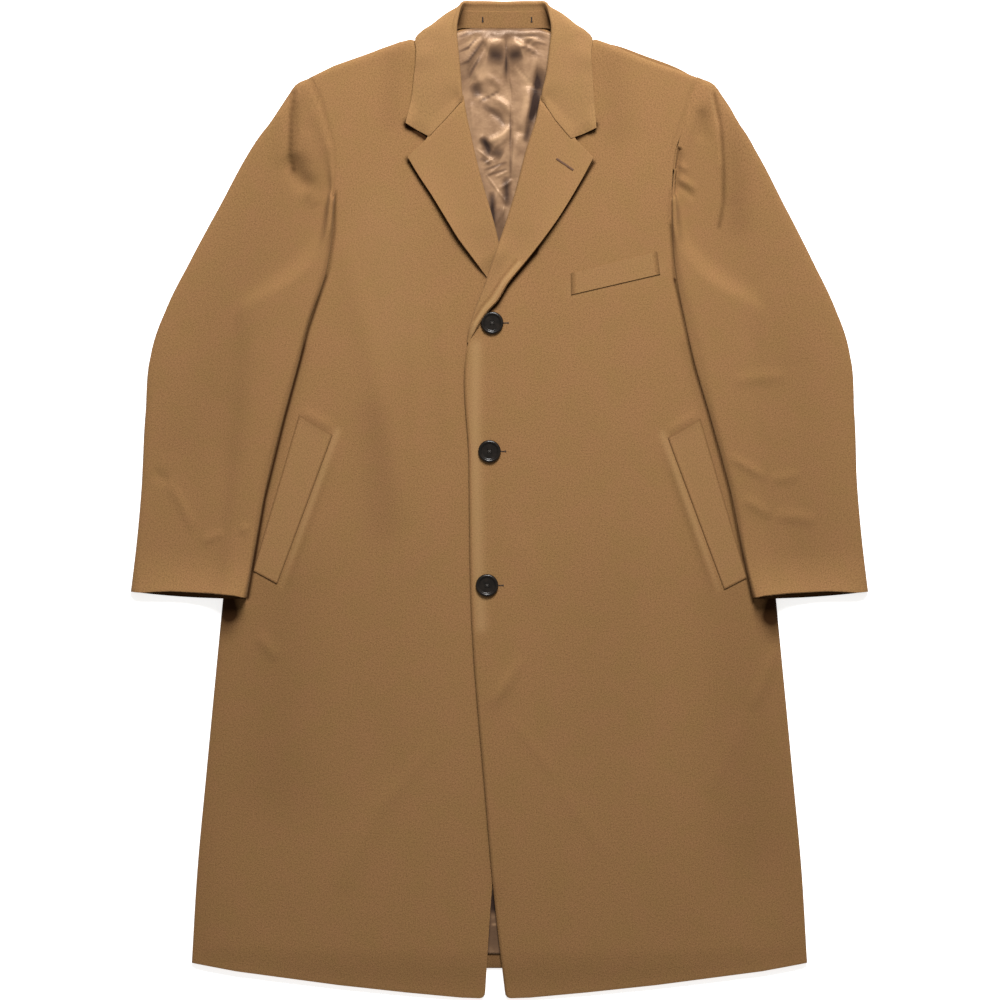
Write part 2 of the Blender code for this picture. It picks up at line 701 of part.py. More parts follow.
def collar_rows(side):
    """Return one side's collar and stand stations, with widths turned into x."""
    widths = [3 * point for point in range(COLLAR_POINTS)]
    collar = mirror_x(COLLAR + COLLAR_END[side], widths, side)
    for column in widths:
        collar[:, column] += middle(collar[:, column + 1])
    stand = mirror_x(STAND_FOOT + STAND_END[side], [0], side)
    stand[:, 0] += middle(stand[:, 1])
    return collar, stand


def both_sides(build):
    """Join what a builder gives for the two sides into one run of rows, end to end."""
    right, left = build(-1), build(1)
    return np.concatenate([right[::-1], left[1:]])


def collar_half(side):
    """Return the collar's outer face on one side, middle to front end, as sections of points."""
    rows, _ = collar_rows(side)
    ends = rows[:, [3, 4, -5, -4]]
    rows = smooth_rows(np.hstack([ends, rows]), COLLAR_STEP)[:, 4:]
    points = [rows[:, 3 * point : 3 * point + 3] for point in range(COLLAR_POINTS)]
    seam, roll, *fall = points
    radius, turn = rows[:, -2, None], np.radians(np.clip(rows[:, -1, None], 0.0, 180.0))
    runs = np.gradient(roll[:, 0:2], axis=0)
    away = np.stack([-runs[:, 1], runs[:, 0], np.zeros(len(rows))], axis=1) * side
    away[0, 0] = 0.0
    away /= np.linalg.norm(away, axis=1, keepdims=True)
    up = np.array((0.0, 0.0, 1.0))
    crest = np.cos(turn) * away + np.sin(turn) * up
    across = np.sin(turn) * away - np.cos(turn) * up
    centre = roll - radius * crest
    fold = []
    for angle in FOLD_ANGLES:
        bend = math.radians(angle)
        fold.append(centre + radius * (math.cos(bend) * crest - math.sin(bend) * across))
    spread = np.array([spread_out(row) for row in zip(fold[-1], *fall)])
    section = np.concatenate([np.stack([seam] + fold, axis=1), spread], axis=1)
    section[..., 2] = np.maximum(section[..., 2], 0.0)
    return section


def stand_half(side):
    """Return the stand's outer face on one side: from the neck seam to just under the collar."""
    rows, stand = collar_rows(side)
    seam = rows[:, 0:3].copy()
    run = stand - seam
    seam += run * STAND_GAP / np.linalg.norm(run, axis=1, keepdims=True)
    joined = np.hstack([stand[:, 0:2], seam[:, 0:2], stand[:, 2:3], seam[:, 2:3]])
    joined = smooth_rows(joined, COLLAR_STEP)
    foot = joined[:, [0, 1, 4]]
    top = joined[:, [2, 3, 5]]
    return np.stack([foot + (top - foot) * part for part in STAND_PARTS], axis=1)


def make_collar(pile, materials, collection):
    """Make the collar, whose fall lies under the back at the middle and on the fronts."""
    points = both_sides(collar_half)
    fall = points[:, len(FOLD_ANGLES) + 2 :]
    held = pile.tops(fall[..., 0:2], COLLAR_REACH) + DRAPE_CLEAR + WOOL
    raised = np.maximum(fall[..., 2], held)
    fall[..., 2] = np.where(fall[..., 2] > ABOVE_FRONTS, raised, fall[..., 2])
    wool = materials["wool"]
    return make_cloth("collar", points, COLLAR_WALL, wool, collection, pile, COLLAR_UP, ABOVE_FRONTS)


def under_sleeve_rows(side):
    """Return the section rows of a sleeve's under half for one side."""
    table = []
    for outer_w, outer_y, inner_w, inner_y, lean, _, _ in SLEEVE[:UNDER_ROWS]:
        table.append((side * outer_w, outer_y, side * inner_w + lean, inner_y))
    for outer_w, outer_y, inner_w, inner_y in UNDER_SLEEVE:
        table.append((side * outer_w, outer_y, side * inner_w, inner_y))
    rows = smooth_rows(table, ROW_STEP)
    run = rows[:, 2:4] - rows[:, 0:2]
    run *= UNDER_INSET / np.linalg.norm(run, axis=1, keepdims=True)
    rows[:, 0:2] += run
    rows[:, 2:4] -= run
    return rows


def make_under_sleeve(word, side, pile, materials, collection):
    """Make the under half of a sleeve, from its cuff to the hidden armhole."""
    rows = under_sleeve_rows(side)
    across = np.linspace(0, 1, UNDER_COLUMNS)
    plan = sections(rows, across)
    armhole = along([(side * w, y) for w, y in ARMHOLE], across)
    parts = row_parts(rows)
    start = parts[round(len(rows) * ARMHOLE_FADE_FROM)]
    fade = np.clip((parts - start) / (1 - start), 0.0, 1.0)[:, None, None]
    plan += fade * (armhole - plan[-1])
    points = np.dstack([plan, pile.drape(plan, rounds=2) + SLEEVE_WOOL])
    wool = materials["wool"]
    return make_cloth("under_sleeve_" + word, points, SLEEVE_WOOL, wool, collection, pile)


def make_top_sleeve(word, side, pile, materials, collection):
    """Make the upper half of a sleeve, rolled down at both folds and seamed to the armhole."""
    table = []
    for outer_w, outer_y, inner_w, inner_y, lean, inner_fold, loft in SLEEVE:
        ends = (side * outer_w, outer_y, side * inner_w + lean, inner_y)
        table.append((*ends, inner_fold, loft))
    rows = smooth_rows(table, ROW_STEP)
    across, down = roll_columns(SLEEVE_WIDTH, True, True, SLEEVE_COLUMNS)
    parts = row_parts(rows)
    plan = sections(rows, across)
    seam = side * np.interp(across, *np.array(HEAD_SEAM_CURVE).T)
    plan[..., 0] += (parts**HEAD_FADE)[:, None] * seam
    loft = rows[:, 5, None] * crown(across, SLEEVE_CROWN)
    top = pile.drape(plan, rounds=3) + SLEEVE_WOOL + loft + fold_lift(plan, SLEEVE_FOLDS)
    lowest = pile.tops(plan, FOLD_REACH) + GAP + FOLD_CLEAR
    folded = np.where(across > 0.5, np.clip(rows[:, 4, None], 0, 1), 1.0)
    top = lowest + (top - lowest) * (1 - folded * (1 - down))
    points = np.dstack([plan, top])
    wool = materials["wool"]
    return make_cloth("top_sleeve_" + word, points, SLEEVE_WOOL, wool, collection, pile)


def make_welt(name, corners, pile, materials, collection):
    """Make a pocket welt: a strip made from the front's points, moved out."""
    outer_top, inner_top, inner_low, outer_low = (np.array(corner) for corner in corners)
    rows, columns = WELT_GRID
    wide = np.linspace(0, 1, columns)
    high = np.linspace(0, 1, rows)
    plan = np.empty((rows, columns, 2))
    for row, part in enumerate(high):
        start = outer_top + (outer_low - outer_top) * part
        end = inner_top + (inner_low - inner_top) * part
        plan[row] = start + (end - start) * wide[:, None]
    points = np.dstack([plan, pile.tops(plan, LIFT_REACH) + GAP + WELT_WOOL])
    return make_cloth(name, points, WELT_WOOL, materials["wool"], collection, pile)


def make_button(name, place, pile, materials, collection):
    """Make a dished round button by turning its profile."""
    x, y = place
    base = pile.top(x, y, BUTTON_RADIUS / 2) + GAP
    form = bmesh.new()
    verts = []
    for part, height in BUTTON_PROFILE:
        verts.append(form.verts.new((part * BUTTON_RADIUS * MM, 0, height * MM)))
    for first, second in zip(verts, verts[1:]):
        form.edges.new((first, second))
    mesh = bpy.data.meshes.new(name)
    form.to_mesh(mesh)
    form.free()
    mesh.materials.append(materials["horn"])
    button = bpy.data.objects.new(name, mesh)
    collection.objects.link(button)
    turn = button.modifiers.new("Turn", "SCREW")
    turn.steps = BUTTON_SIDES
    turn.render_steps = BUTTON_SIDES
    turn.use_merge_vertices = True
    turn.merge_threshold = 0.01 * MM
    button.location = (x * MM, y * MM, base * MM)
    bpy.context.view_layer.update()
    return button


def centre_on_origin(collection):
    """Move every piece sideways so that the coat's box is centred on the origin."""
    graph = bpy.context.evaluated_depsgraph_get()
    places = []
    for piece in collection.objects:
        evaluated = piece.evaluated_get(graph)
        mesh = evaluated.to_mesh()
        places += [evaluated.matrix_world @ vert.co for vert in mesh.vertices]
        evaluated.to_mesh_clear()
    places = np.array(places)
    middle_place = (places.min(axis=0) + places.max(axis=0)) / 2
    for piece in collection.objects:
        piece.location.x -= middle_place[0]
        piece.location.y -= middle_place[1]
    bpy.context.view_layer.update()


def main():
    """Lay the coat down piece by piece, from the back up to the buttons."""
    clear_scene()
    collection = bpy.data.collections.new("wool_overcoat")
    bpy.context.scene.collection.children.link(collection)
    materials = {kind: make_material(kind) for kind in COLOURS}
    pile = Pile()

    def lay(piece):
        pile.add(piece)

    lay(make_back(materials, collection))
    lay(make_back_lining(pile, materials, collection))
    lay(make_front("front_right", -1, pile, materials, collection))
    lay(make_lapel("lapel_right", LAPEL_RIGHT, pile, materials, collection))
    lay(make_front("front_left", 1, pile, materials, collection))
    lay(make_lapel("lapel_left", LAPEL_LEFT, pile, materials, collection))
    lay(make_welt("breast_welt", BREAST, pile, materials, collection))
    lay(make_welt("pocket_welt_right", POCKET_RIGHT, pile, materials, collection))
    lay(make_welt("pocket_welt_left", POCKET_LEFT, pile, materials, collection))
    stand = both_sides(stand_half)
    lay(make_cloth("collar_stand", stand, STAND_WOOL, materials["wool"], collection))
    lay(make_collar(pile, materials, collection))
    for word, side in (("right", -1), ("left", 1)):
        lay(make_under_sleeve(word, side, pile, materials, collection))
        lay(make_top_sleeve(word, side, pile, materials, collection))
    for number, place in enumerate(BUTTON_PLACES, start=1):
        lay(make_button(f"button_{number}", place, pile, materials, collection))
    centre_on_origin(collection)


main()
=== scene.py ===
"""Looks of a camel wool overcoat that lies on its back, buttoned, with both sleeves beside it.

Plan places are in millimetres, with y towards the collar and z up from the surface. "Right" and
"left" are the wearer's, so the right front lies at negative x and passes under the left front.
Every cloth piece is a grid of sections that is laid on the pieces beneath it, in sewing order.
"""

import logging
import math
from collections.abc import Callable
from dataclasses import dataclass, field
from enum import Enum

import bmesh
import bpy
import numpy as np
from mathutils import Matrix, Vector
from mathutils.bvhtree import BVHTree


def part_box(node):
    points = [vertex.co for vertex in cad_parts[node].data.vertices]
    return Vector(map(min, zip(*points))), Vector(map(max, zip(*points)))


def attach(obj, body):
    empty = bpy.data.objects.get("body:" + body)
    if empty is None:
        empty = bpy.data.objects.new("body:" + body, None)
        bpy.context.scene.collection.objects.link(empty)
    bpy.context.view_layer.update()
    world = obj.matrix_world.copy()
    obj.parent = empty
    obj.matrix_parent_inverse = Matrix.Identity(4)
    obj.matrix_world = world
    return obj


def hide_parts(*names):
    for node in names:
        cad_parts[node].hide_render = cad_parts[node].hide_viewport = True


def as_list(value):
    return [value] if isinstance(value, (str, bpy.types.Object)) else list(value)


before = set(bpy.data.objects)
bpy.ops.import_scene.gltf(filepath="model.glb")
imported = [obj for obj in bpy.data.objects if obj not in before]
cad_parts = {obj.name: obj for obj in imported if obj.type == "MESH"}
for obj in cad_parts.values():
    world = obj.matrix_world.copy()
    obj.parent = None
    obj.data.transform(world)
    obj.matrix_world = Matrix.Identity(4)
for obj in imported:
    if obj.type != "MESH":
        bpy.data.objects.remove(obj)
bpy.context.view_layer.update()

LOG = logging.getLogger("overcoat")
MM = 0.001
SURFACE = "floor"

Point = tuple[float, float]
Place = tuple[float, float, float]
Colour = tuple[float, float, float, float]
Row = tuple[float, ...]
# A half width, a height or tone, and then the places of a bent line.
Line = tuple[float | Point, ...]

# The middle button's place on the cutting plan; its node says where that is in the frame.
MIDDLE_BUTTON = (-11.9, 57.7)
BUTTONS = ((-8.8, 210.3), MIDDLE_BUTTON, (-14.8, -101.5))
# The two ends of the lapel's buttonhole, and where the stand is tacked to the lining.
LAPEL_HOLE = ((67.8, 405.2), (87.5, 391.8))
TACK_X = (-19.9, 38.1)
TACK_Y = (573.6, 568.0)


def plan_origin() -> np.ndarray:
    """Find the plan's origin in the frame.

    Returns:
        Its place, in millimetres.
    """
    low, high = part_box("button_2")
    centre = (low + high) / 2 / MM
    return np.array((centre.x - MIDDLE_BUTTON[0], centre.y - MIDDLE_BUTTON[1], 0.0))


ORIGIN = plan_origin()


class Side(Enum):
    """The wearer's right and left, as the sign of x."""

    RIGHT = -1
    LEFT = 1

    @property
    def word(self) -> str:
        """Return the side's name in lower case."""
        return self.name.lower()


# ---------------------------------------------------------------------------------------------
# Curves, folds and layers


class Curve:
    """A smooth curve through rows of numbers."""

    def __init__(self, rows: np.ndarray, spans: np.ndarray | None = None) -> None:
        """Fit the curve.

        Args:
            rows: the points to pass through, one to a row.
            spans: the distance between each two rows, or None for their own distance.
        """
        self.rows = np.array(rows, float)
        if spans is None:
            spans = np.linalg.norm(np.diff(self.rows, axis=0), axis=1)
        self.knots = np.concatenate([[0.0], np.cumsum(spans)])
        self.slopes = np.gradient(self.rows, self.knots, axis=0)

    @property
    def length(self) -> float:
        """Return the distance from the first row to the last."""
        return float(self.knots[-1])

    def at(self, places: np.ndarray) -> np.ndarray:
        """Find points on the curve.

        Args:
            places: distances along the curve.

        Returns:
            The point at each distance.
        """
        places = np.asarray(places, float)
        index = np.clip(np.searchsorted(self.knots, places, side="right") - 1, 0, len(self.knots) - 2)
        span = (self.knots[index + 1] - self.knots[index])[:, None]
        t = (places - self.knots[index])[:, None] / span
        return (
            self.rows[index] * (1 + 2 * t) * (1 - t) ** 2
            + self.slopes[index] * span * t * (1 - t) ** 2
            + self.rows[index + 1] * t * t * (3 - 2 * t)
            + self.slopes[index + 1] * span * t * t * (t - 1)
        )


def section_spans(rows: np.ndarray) -> np.ndarray:
    """Return the mean distance between neighbouring sections, from the places of their ends."""
    moves = np.diff(rows, axis=0)
    return (np.hypot(moves[:, 0], moves[:, 1]) + np.hypot(moves[:, 2], moves[:, 3])) / 2


# Where the even rows end before a rolled edge, as a share of how far its own rows reach.
CLOSING_ROOM = 1.3


def smooth_rows(table: list[Row] | np.ndarray, step: float, closing: Row = ()) -> np.ndarray:
    """Return sections on smooth curves through a table's, about a step apart.

    Args:
        table: rows whose first four columns are the places of a section's two ends.
        step: the distance between two sections.
        closing: distances from the last row at which sections are added, for a rolled edge.

    Returns:
        The new rows, with all the table's columns.
    """
    rows = np.array(table, float)
    curve = Curve(rows, section_spans(rows))
    count = max(2, round(curve.length / step))
    places = np.linspace(0, curve.length, count + 1)
    if closing:
        places = places[places < curve.length - CLOSING_ROOM * max(closing)]
        places = np.concatenate([places, curve.length - np.array(closing), [curve.length]])
    return curve.at(places)


def row_parts(rows: np.ndarray) -> np.ndarray:
    """Return how far along the piece each section lies, from 0 to 1."""
    spans = section_spans(rows)
    return np.concatenate([[0.0], np.cumsum(spans)]) / spans.sum()


def sections(rows: np.ndarray, across: np.ndarray) -> np.ndarray:
    """Return the places on straight sections between each row's two ends."""
    start, end = rows[:, None, 0:2], rows[:, None, 2:4]
    return start + (end - start) * across[None, :, None]


def ease(value: np.ndarray) -> np.ndarray:
    """Return a value clipped to 0..1 and eased at both ends."""
    value = np.clip(value, 0.0, 1.0)
    return value * value * (3 - 2 * value)


def crown(across: np.ndarray, power: float) -> np.ndarray:
    """Return the height of a crowned section, 0 at its ends and 1 half way."""
    return np.clip(np.sin(math.pi * across), 0.0, 1.0) ** power


def soften(height: np.ndarray, rounds: int) -> np.ndarray:
    """Average a grid of heights with its neighbours.

    Args:
        height: the grid.
        rounds: how often it is averaged.

    Returns:
        The softened grid.
    """
    for _ in range(rounds):
        wide = np.pad(height, 1, mode="edge")
        beside = wide[:-2, 1:-1] + wide[2:, 1:-1] + wide[1:-1, :-2] + wide[1:-1, 2:]
        height = height / 2 + beside / 8
    return height


def nearest_on_line(plan: np.ndarray, line: np.ndarray) -> tuple[np.ndarray, np.ndarray]:
    """Find each place's nearest point on a bent line.

    Args:
        plan: the plan places.
        line: the line's corners.

    Returns:
        The distances from the line, and the nearest points' parts of the way along it.
    """
    nearest = np.full(plan.shape[:-1], np.inf)
    reached = np.zeros(plan.shape[:-1])
    for step, (first, last) in enumerate(zip(line, line[1:])):
        move = last - first
        part = np.clip(((plan - first) @ move) / (move @ move), 0.0, 1.0)
        away = np.linalg.norm(plan - first - part[..., None] * move, axis=-1)
        closer = away < nearest
        nearest = np.where(closer, away, nearest)
        reached = np.where(closer, (step + part) / (len(line) - 1), reached)
    return nearest, reached


def line_lift(plan: np.ndarray, lines: tuple[Line, ...]) -> np.ndarray:
    """Work out what a table of bent lines adds at plan places.

    Args:
        plan: the plan places.
        lines: for each line its half width, its height or tone, and its places.

    Returns:
        The sum at each place.
    """
    lift = np.zeros(plan.shape[:-1])
    for half_width, height, *places in lines:
        away, _ = nearest_on_line(plan, np.array(places, float))
        lift += height * np.exp(-((away / half_width) ** 2))
    return lift


@dataclass(frozen=True)
class Fold:
    """A soft ridge, or a trough where its height is negative, along a gently bent line."""

    x0: float
    y0: float
    x1: float
    y1: float
    bend: float
    half_width: float
    height: float
    steps: int = 8

    def lift(self, plan: np.ndarray) -> np.ndarray:
        """Work out how far the fold raises the cloth.

        Args:
            plan: the plan places.

        Returns:
            The height at each place.
        """
        start, end = np.array((self.x0, self.y0)), np.array((self.x1, self.y1))
        run = end - start
        sideways = np.array((-run[1], run[0])) / np.linalg.norm(run)
        parts = np.linspace(0, 1, self.steps + 1)
        line = start + parts[:, None] * run + (4 * parts * (1 - parts) * self.bend)[:, None] * sideways
        away, reached = nearest_on_line(plan, line)
        fade = 1 - np.abs(2 * reached - 1) ** 3
        return self.height * fade * np.exp(-((away / self.half_width) ** 2))


def fold_lift(plan: np.ndarray, folds: tuple[Row, ...]) -> np.ndarray:
    """Work out how far a table of folds raises the cloth.

    Args:
        plan: the plan places.
        folds: rows of a Fold's values.

    Returns:
        The height at each place.
    """
    lift = np.zeros(plan.shape[:-1])
    for row in folds:
        lift += Fold(*row).lift(plan)
    return lift


class Stack:
    """The pieces laid down so far, and how high they reach above a place."""

    TOO_HIGH = 500.0
    PLACES_ROUND = 4
    SETTLE_ROUNDS = 4

    def __init__(self) -> None:
        """Start with nothing on the surface."""
        self.points: list[Vector] = []
        self.faces: list[list[int]] = []
        self.tree: BVHTree | None = None

    def add(self, piece: bpy.types.Object) -> None:
        """Lay a finished piece on the stack.

        Args:
            piece: the piece.
        """
        evaluated = piece.evaluated_get(bpy.context.evaluated_depsgraph_get())
        mesh = evaluated.to_mesh()
        first = len(self.points)
        self.points += [Vector(np.array(vert.co) / MM - ORIGIN) for vert in mesh.vertices]
        self.faces += [[first + index for index in face.vertices] for face in mesh.polygons]
        evaluated.to_mesh_clear()
        self.tree = BVHTree.FromPolygons(self.points, self.faces)

    def top(self, x: float, y: float, reach: float) -> float:
        """Find the highest point near a place.

        Args:
            x: the place's x on the plan.
            y: its y.
            reach: how far round it the stack is felt.

        Returns:
            The height, or 0 on the bare surface.
        """
        highest = 0.0
        for turn in range(self.PLACES_ROUND + 1 if reach else 1):
            angle = 2 * math.pi * (turn + 0.5) / self.PLACES_ROUND
            away = 0.0 if turn == 0 else reach
            place = (x + away * math.cos(angle), y + away * math.sin(angle), self.TOO_HIGH)
            hit = self.tree.ray_cast(Vector(place), Vector((0, 0, -1)))[0]
            if hit is not None:
                highest = max(highest, hit.z)
        return highest

    def tops(self, plan: np.ndarray, reach: float = 1.5) -> np.ndarray:
        """Return the heights under a grid of plan places."""
        found = [self.top(x, y, reach) for x, y in plan.reshape(-1, 2)]
        return np.array(found).reshape(plan.shape[:-1])

    def drape(self, plan: np.ndarray, rounds: int, reach: float = 2.0, clear: float = 0.45) -> np.ndarray:
        """Find heights just clear of the stack, bridging its steps as stiff cloth does.

        Args:
            plan: the plan places of the cloth.
            rounds: how often the cloth is drawn straight between its supports.
            reach: how far round a place the stack is felt.
            clear: the gap between two layers.

        Returns:
            The height at each place.
        """
        held = self.tops(plan, reach)
        held = np.where(held > 0, held + clear, 0.0)
        height = held.copy()
        for _ in range(rounds):
            height = np.maximum(held, soften(height, 1))
        return soften(height, self.SETTLE_ROUNDS)


# ---------------------------------------------------------------------------------------------
# Shader values and finishes


class Value:
    """A number that a shader works out, usable in sums with others and with plain numbers."""

    def __init__(self, shader: "Shader", socket: bpy.types.NodeSocket) -> None:
        """Wrap an output socket of a shader."""
        self.shader = shader
        self.socket = socket

    def math(self, operation: str, first: "Value | float", second: "Value | float") -> "Value":
        """Return the result of a Math node on two values."""
        node = self.shader.node("ShaderNodeMath", {"operation": operation}, {0: first, 1: second})
        return Value(self.shader, node.outputs[0])

    def __add__(self, other: "Value | float") -> "Value":
        """Return the sum."""
        return self.math("ADD", self, other)

    __radd__ = __add__

    def __sub__(self, other: "Value | float") -> "Value":
        """Return the difference."""
        return self.math("SUBTRACT", self, other)

    def __rsub__(self, other: float) -> "Value":
        """Return the difference from a plain number."""
        return self.math("SUBTRACT", other, self)

    def __mul__(self, other: "Value | float") -> "Value":
        """Return the product."""
        return self.math("MULTIPLY", self, other)

    __rmul__ = __mul__


class Shader:
    """A material under construction."""

    def __init__(self, name: str) -> None:
        """Start a material with its Principled shader.

        Args:
            name: the material's name.
        """
        self.material = bpy.data.materials.new(name)
        self.material.use_nodes = True
        self.tree = self.material.node_tree
        self.surface = self.tree.nodes["Principled BSDF"]

    def node(
        self, kind: str, settings: dict[str, object], sockets: dict[str | int, object]
    ) -> bpy.types.Node:
        """Add a node.

        Args:
            kind: the node's type.
            settings: its settings, such as a Math node's operation.
            sockets: the value or link of its input sockets, by name or number.

        Returns:
            The new node.
        """
        node = self.tree.nodes.new(kind)
        for name, setting in settings.items():
            setattr(node, name, setting)
        for name, value in sockets.items():
            self.feed(node.inputs[name], value)
        return node

    def feed(self, socket: bpy.types.NodeSocket, value: object) -> None:
        """Link a value to a socket, or set a plain number or colour on it.

        Args:
            socket: the input socket.
            value: a Value, an output socket, a number or a colour.
        """
        if isinstance(value, Value):
            self.tree.links.new(value.socket, socket)
        elif isinstance(value, bpy.types.NodeSocket):
            self.tree.links.new(value, socket)
        else:
            socket.default_value = value

    def attribute(self, name: str) -> Value:
        """Return a number that the piece's points carry."""
        settings = {"attribute_type": "GEOMETRY", "attribute_name": name}
        return Value(self, self.node("ShaderNodeAttribute", settings, {}).outputs["Fac"])

    def noise(
        self, place: bpy.types.NodeSocket, scale: float, detail: float, rough: float = 0.5
    ) -> Value:
        """Return a noise from 0 to 1, with its scale in features to a metre."""
        sockets = {"Vector": place, "Scale": scale, "Detail": detail, "Roughness": rough}
        return Value(self, self.node("ShaderNodeTexNoise", {}, sockets).outputs["Fac"])

    def mix(self, part: "Value | float", first: object, second: object) -> bpy.types.NodeSocket:
        """Return a colour between two colours."""
        node = self.node("ShaderNodeMix", {"data_type": "RGBA"}, {0: part, 6: first, 7: second})
        return node.outputs[2]

    def bump(self, height: Value, strength: float, distance: float) -> bpy.types.NodeSocket:
        """Return a normal roughened by a height."""
        sockets = {"Height": height, "Strength": strength, "Distance": distance}
        return self.node("ShaderNodeBump", {}, sockets).outputs["Normal"]

    def finish(self, sockets: dict[str, object]) -> bpy.types.Material:
        """Set the Principled shader's sockets.

        Args:
            sockets: their values, by name.

        Returns:
            The finished material.
        """
        for name, value in sockets.items():
            self.feed(self.surface.inputs[name], value)
        return self.material


@dataclass(frozen=True)
class WoolFinish:
    """Milled wool: a short felted nap over a fine twill, mottled in two camel tones."""

    name: str = "camel_wool"
    warm: Colour = (0.268, 0.1395, 0.0595, 1.0)
    cool: Colour = (0.253, 0.1405, 0.0545, 1.0)
    deep: Colour = (0.112, 0.056, 0.021, 1.0)
    # Painted shade and painted light colours, which the tone attribute mixes into the wool.
    painted_shade_colour: Colour = (0.028, 0.011, 0.003, 1.0)
    painted_light_colour: Colour = (0.410, 0.265, 0.122, 1.0)
    patch_scale: float = 26.0
    patch_middle: float = 0.35
    patch_contrast: float = 3.0
    mottle_scale: float = 560.0
    nap_scale: float = 1100.0
    twill_scale: float = 420.0
    twill_turn: float = 58.0
    # How much the mottle, the nap and the twill darken the wool, and how dark it is without them.
    mottle_shade: float = 2.2
    nap_shade: float = 3.6
    twill_shade: float = 0.1
    shade_gain: float = 0.62
    even_shade: float = 0.22
    # How much each of them roughens it.
    mottle_height: float = 0.6
    nap_height: float = 0.8
    twill_height: float = 0.1

    def build(self) -> bpy.types.Material:
        """Build the wool's material.

        Returns:
            The material.
        """
        shader = Shader(self.name)
        cut = shader.node("ShaderNodeUVMap", {"uv_map": "cut"}, {}).outputs["UV"]
        patch = shader.noise(cut, self.patch_scale, 3.0, 0.6)
        mottle = shader.noise(cut, self.mottle_scale, 2.0)
        nap = shader.noise(cut, self.nap_scale, 3.0, 0.7)
        turn = (0.0, 0.0, math.radians(self.twill_turn))
        turned = shader.node("ShaderNodeMapping", {}, {"Vector": cut, "Rotation": turn})
        wave = shader.node(
            "ShaderNodeTexWave",
            {"wave_type": "BANDS"},
            {"Vector": turned.outputs[0], "Scale": self.twill_scale, "Distortion": 2.0, "Detail": 2.0},
        )
        twill = Value(shader, wave.outputs["Fac"])
        tone = shader.mix((patch - self.patch_middle) * self.patch_contrast, self.warm, self.cool)
        shade = (mottle - 0.5) * self.mottle_shade + (nap - 0.5) * self.nap_shade
        shade = shade + (twill - 0.5) * self.twill_shade
        colour = shader.mix(self.even_shade - shade * self.shade_gain, tone, self.deep)
        # Painted shade and painted light from the tone attribute: below 0 towards the painted shade colour,
        # above 0 towards the painted light colour.
        painted_shading = shader.attribute("tone")
        colour = shader.mix(painted_shading * -1.0, colour, self.painted_shade_colour)
        colour = shader.mix(painted_shading, colour, self.painted_light_colour)
        height = nap * self.nap_height + twill * self.twill_height + mottle * self.mottle_height
        return shader.finish(
            {
                "Base Color": colour,
                "Roughness": 0.93,
                "Specular IOR Level": 0.06,
                "Sheen Weight": 0.06,
                "Sheen Roughness": 0.5,
                "Sheen Tint": (1.0, 0.75, 0.48, 1.0),
                "Normal": shader.bump(height, 0.5, 0.0006),
            }
        )


@dataclass(frozen=True)
class SatinFinish:
    """Lining satin: smooth and glossy across its long floats."""

    name: str = "lining_satin"
    light: Colour = (0.425, 0.262, 0.146, 1.0)
    dark: Colour = (0.195, 0.110, 0.060, 1.0)
    # Painted shade colour, which the tone attribute mixes into the satin.
    painted_shade_colour: Colour = (0.030, 0.016, 0.012, 1.0)
    thread_scale: float = 700.0
    crumple_scale: float = 70.0
    cloud_scale: float = 60.0
    cloud_depth: float = 1.4
    evenness: float = 0.26

    def build(self) -> bpy.types.Material:
        """Build the satin's material.

        Returns:
            The material.
        """
        shader = Shader(self.name)
        cut = shader.node("ShaderNodeUVMap", {"uv_map": "cut"}, {}).outputs["UV"]
        cloud = shader.noise(cut, self.cloud_scale, 3.0)
        stretched = shader.node("ShaderNodeMapping", {}, {"Vector": cut, "Scale": (1.0, 0.12, 1.0)})
        thread = shader.noise(stretched.outputs[0], self.thread_scale, 2.0)
        crumple = shader.noise(cut, self.crumple_scale, 4.0, 0.6)
        # Painted light and shade from the tone attribute: it moves the satin between dark and light and
        # darkens it towards the painted shade colour.
        painted_shading = shader.attribute("tone")
        colour = shader.mix((cloud - 0.5) * self.cloud_depth + self.evenness + painted_shading, self.dark, self.light)
        colour = shader.mix(painted_shading * -1.0, colour, self.painted_shade_colour)
        return shader.finish(
            {
                "Base Color": colour,
                "Metallic": 0.1,
                "Roughness": 0.36 + thread * 0.12,
                "Specular IOR Level": 0.3,
                "Specular Tint": (1.0, 0.88, 0.76, 1.0),
                "Anisotropic": 0.4,
                "Sheen Weight": 0.1,
                "Normal": shader.bump(thread * 0.06 + crumple, 0.45, 0.0018),
            }
        )


@dataclass(frozen=True)
class HornFinish:
    """Polished dark horn, streaked a little lighter."""

    name: str = "dark_horn"
    dark: Colour = (0.006, 0.0045, 0.0035, 1.0)
    light: Colour = (0.020, 0.014, 0.010, 1.0)
    streak_scale: float = 160.0
    streak_middle: float = 0.4
    streak_contrast: float = 2.0

    def build(self) -> bpy.types.Material:
        """Build the horn's material.

        Returns:
            The material.
        """
        shader = Shader(self.name)
        place = shader.node("ShaderNodeTexCoord", {}, {}).outputs["Object"]
        streak = shader.noise(place, self.streak_scale, 4.0, 0.65)
        part = (streak - self.streak_middle) * self.streak_contrast
        return shader.finish(
            {
                "Base Color": shader.mix(part, self.dark, self.light),
                "Roughness": 0.24 + streak * 0.06,
                "Specular IOR Level": 0.35,
            }
        )


@dataclass(frozen=True)
class ThreadFinish:
    """Twisted buttonhole thread."""

    name: str
    colour: Colour
    twist_scale: float = 1600.0

    def build(self) -> bpy.types.Material:
        """Build the thread's material.

        Returns:
            The material.
        """
        shader = Shader(self.name)
        place = shader.node("ShaderNodeTexCoord", {}, {}).outputs["Object"]
        twist = shader.noise(place, self.twist_scale, 2.0)
        deep = tuple(part * 0.5 for part in self.colour[:3]) + (1.0,)
        return shader.finish(
            {
                "Base Color": shader.mix(twist, deep, self.colour),
                "Roughness": 0.7,
                "Normal": shader.bump(twist, 0.5, 0.0003),
            }
        )


# ---------------------------------------------------------------------------------------------
# Cloth pieces


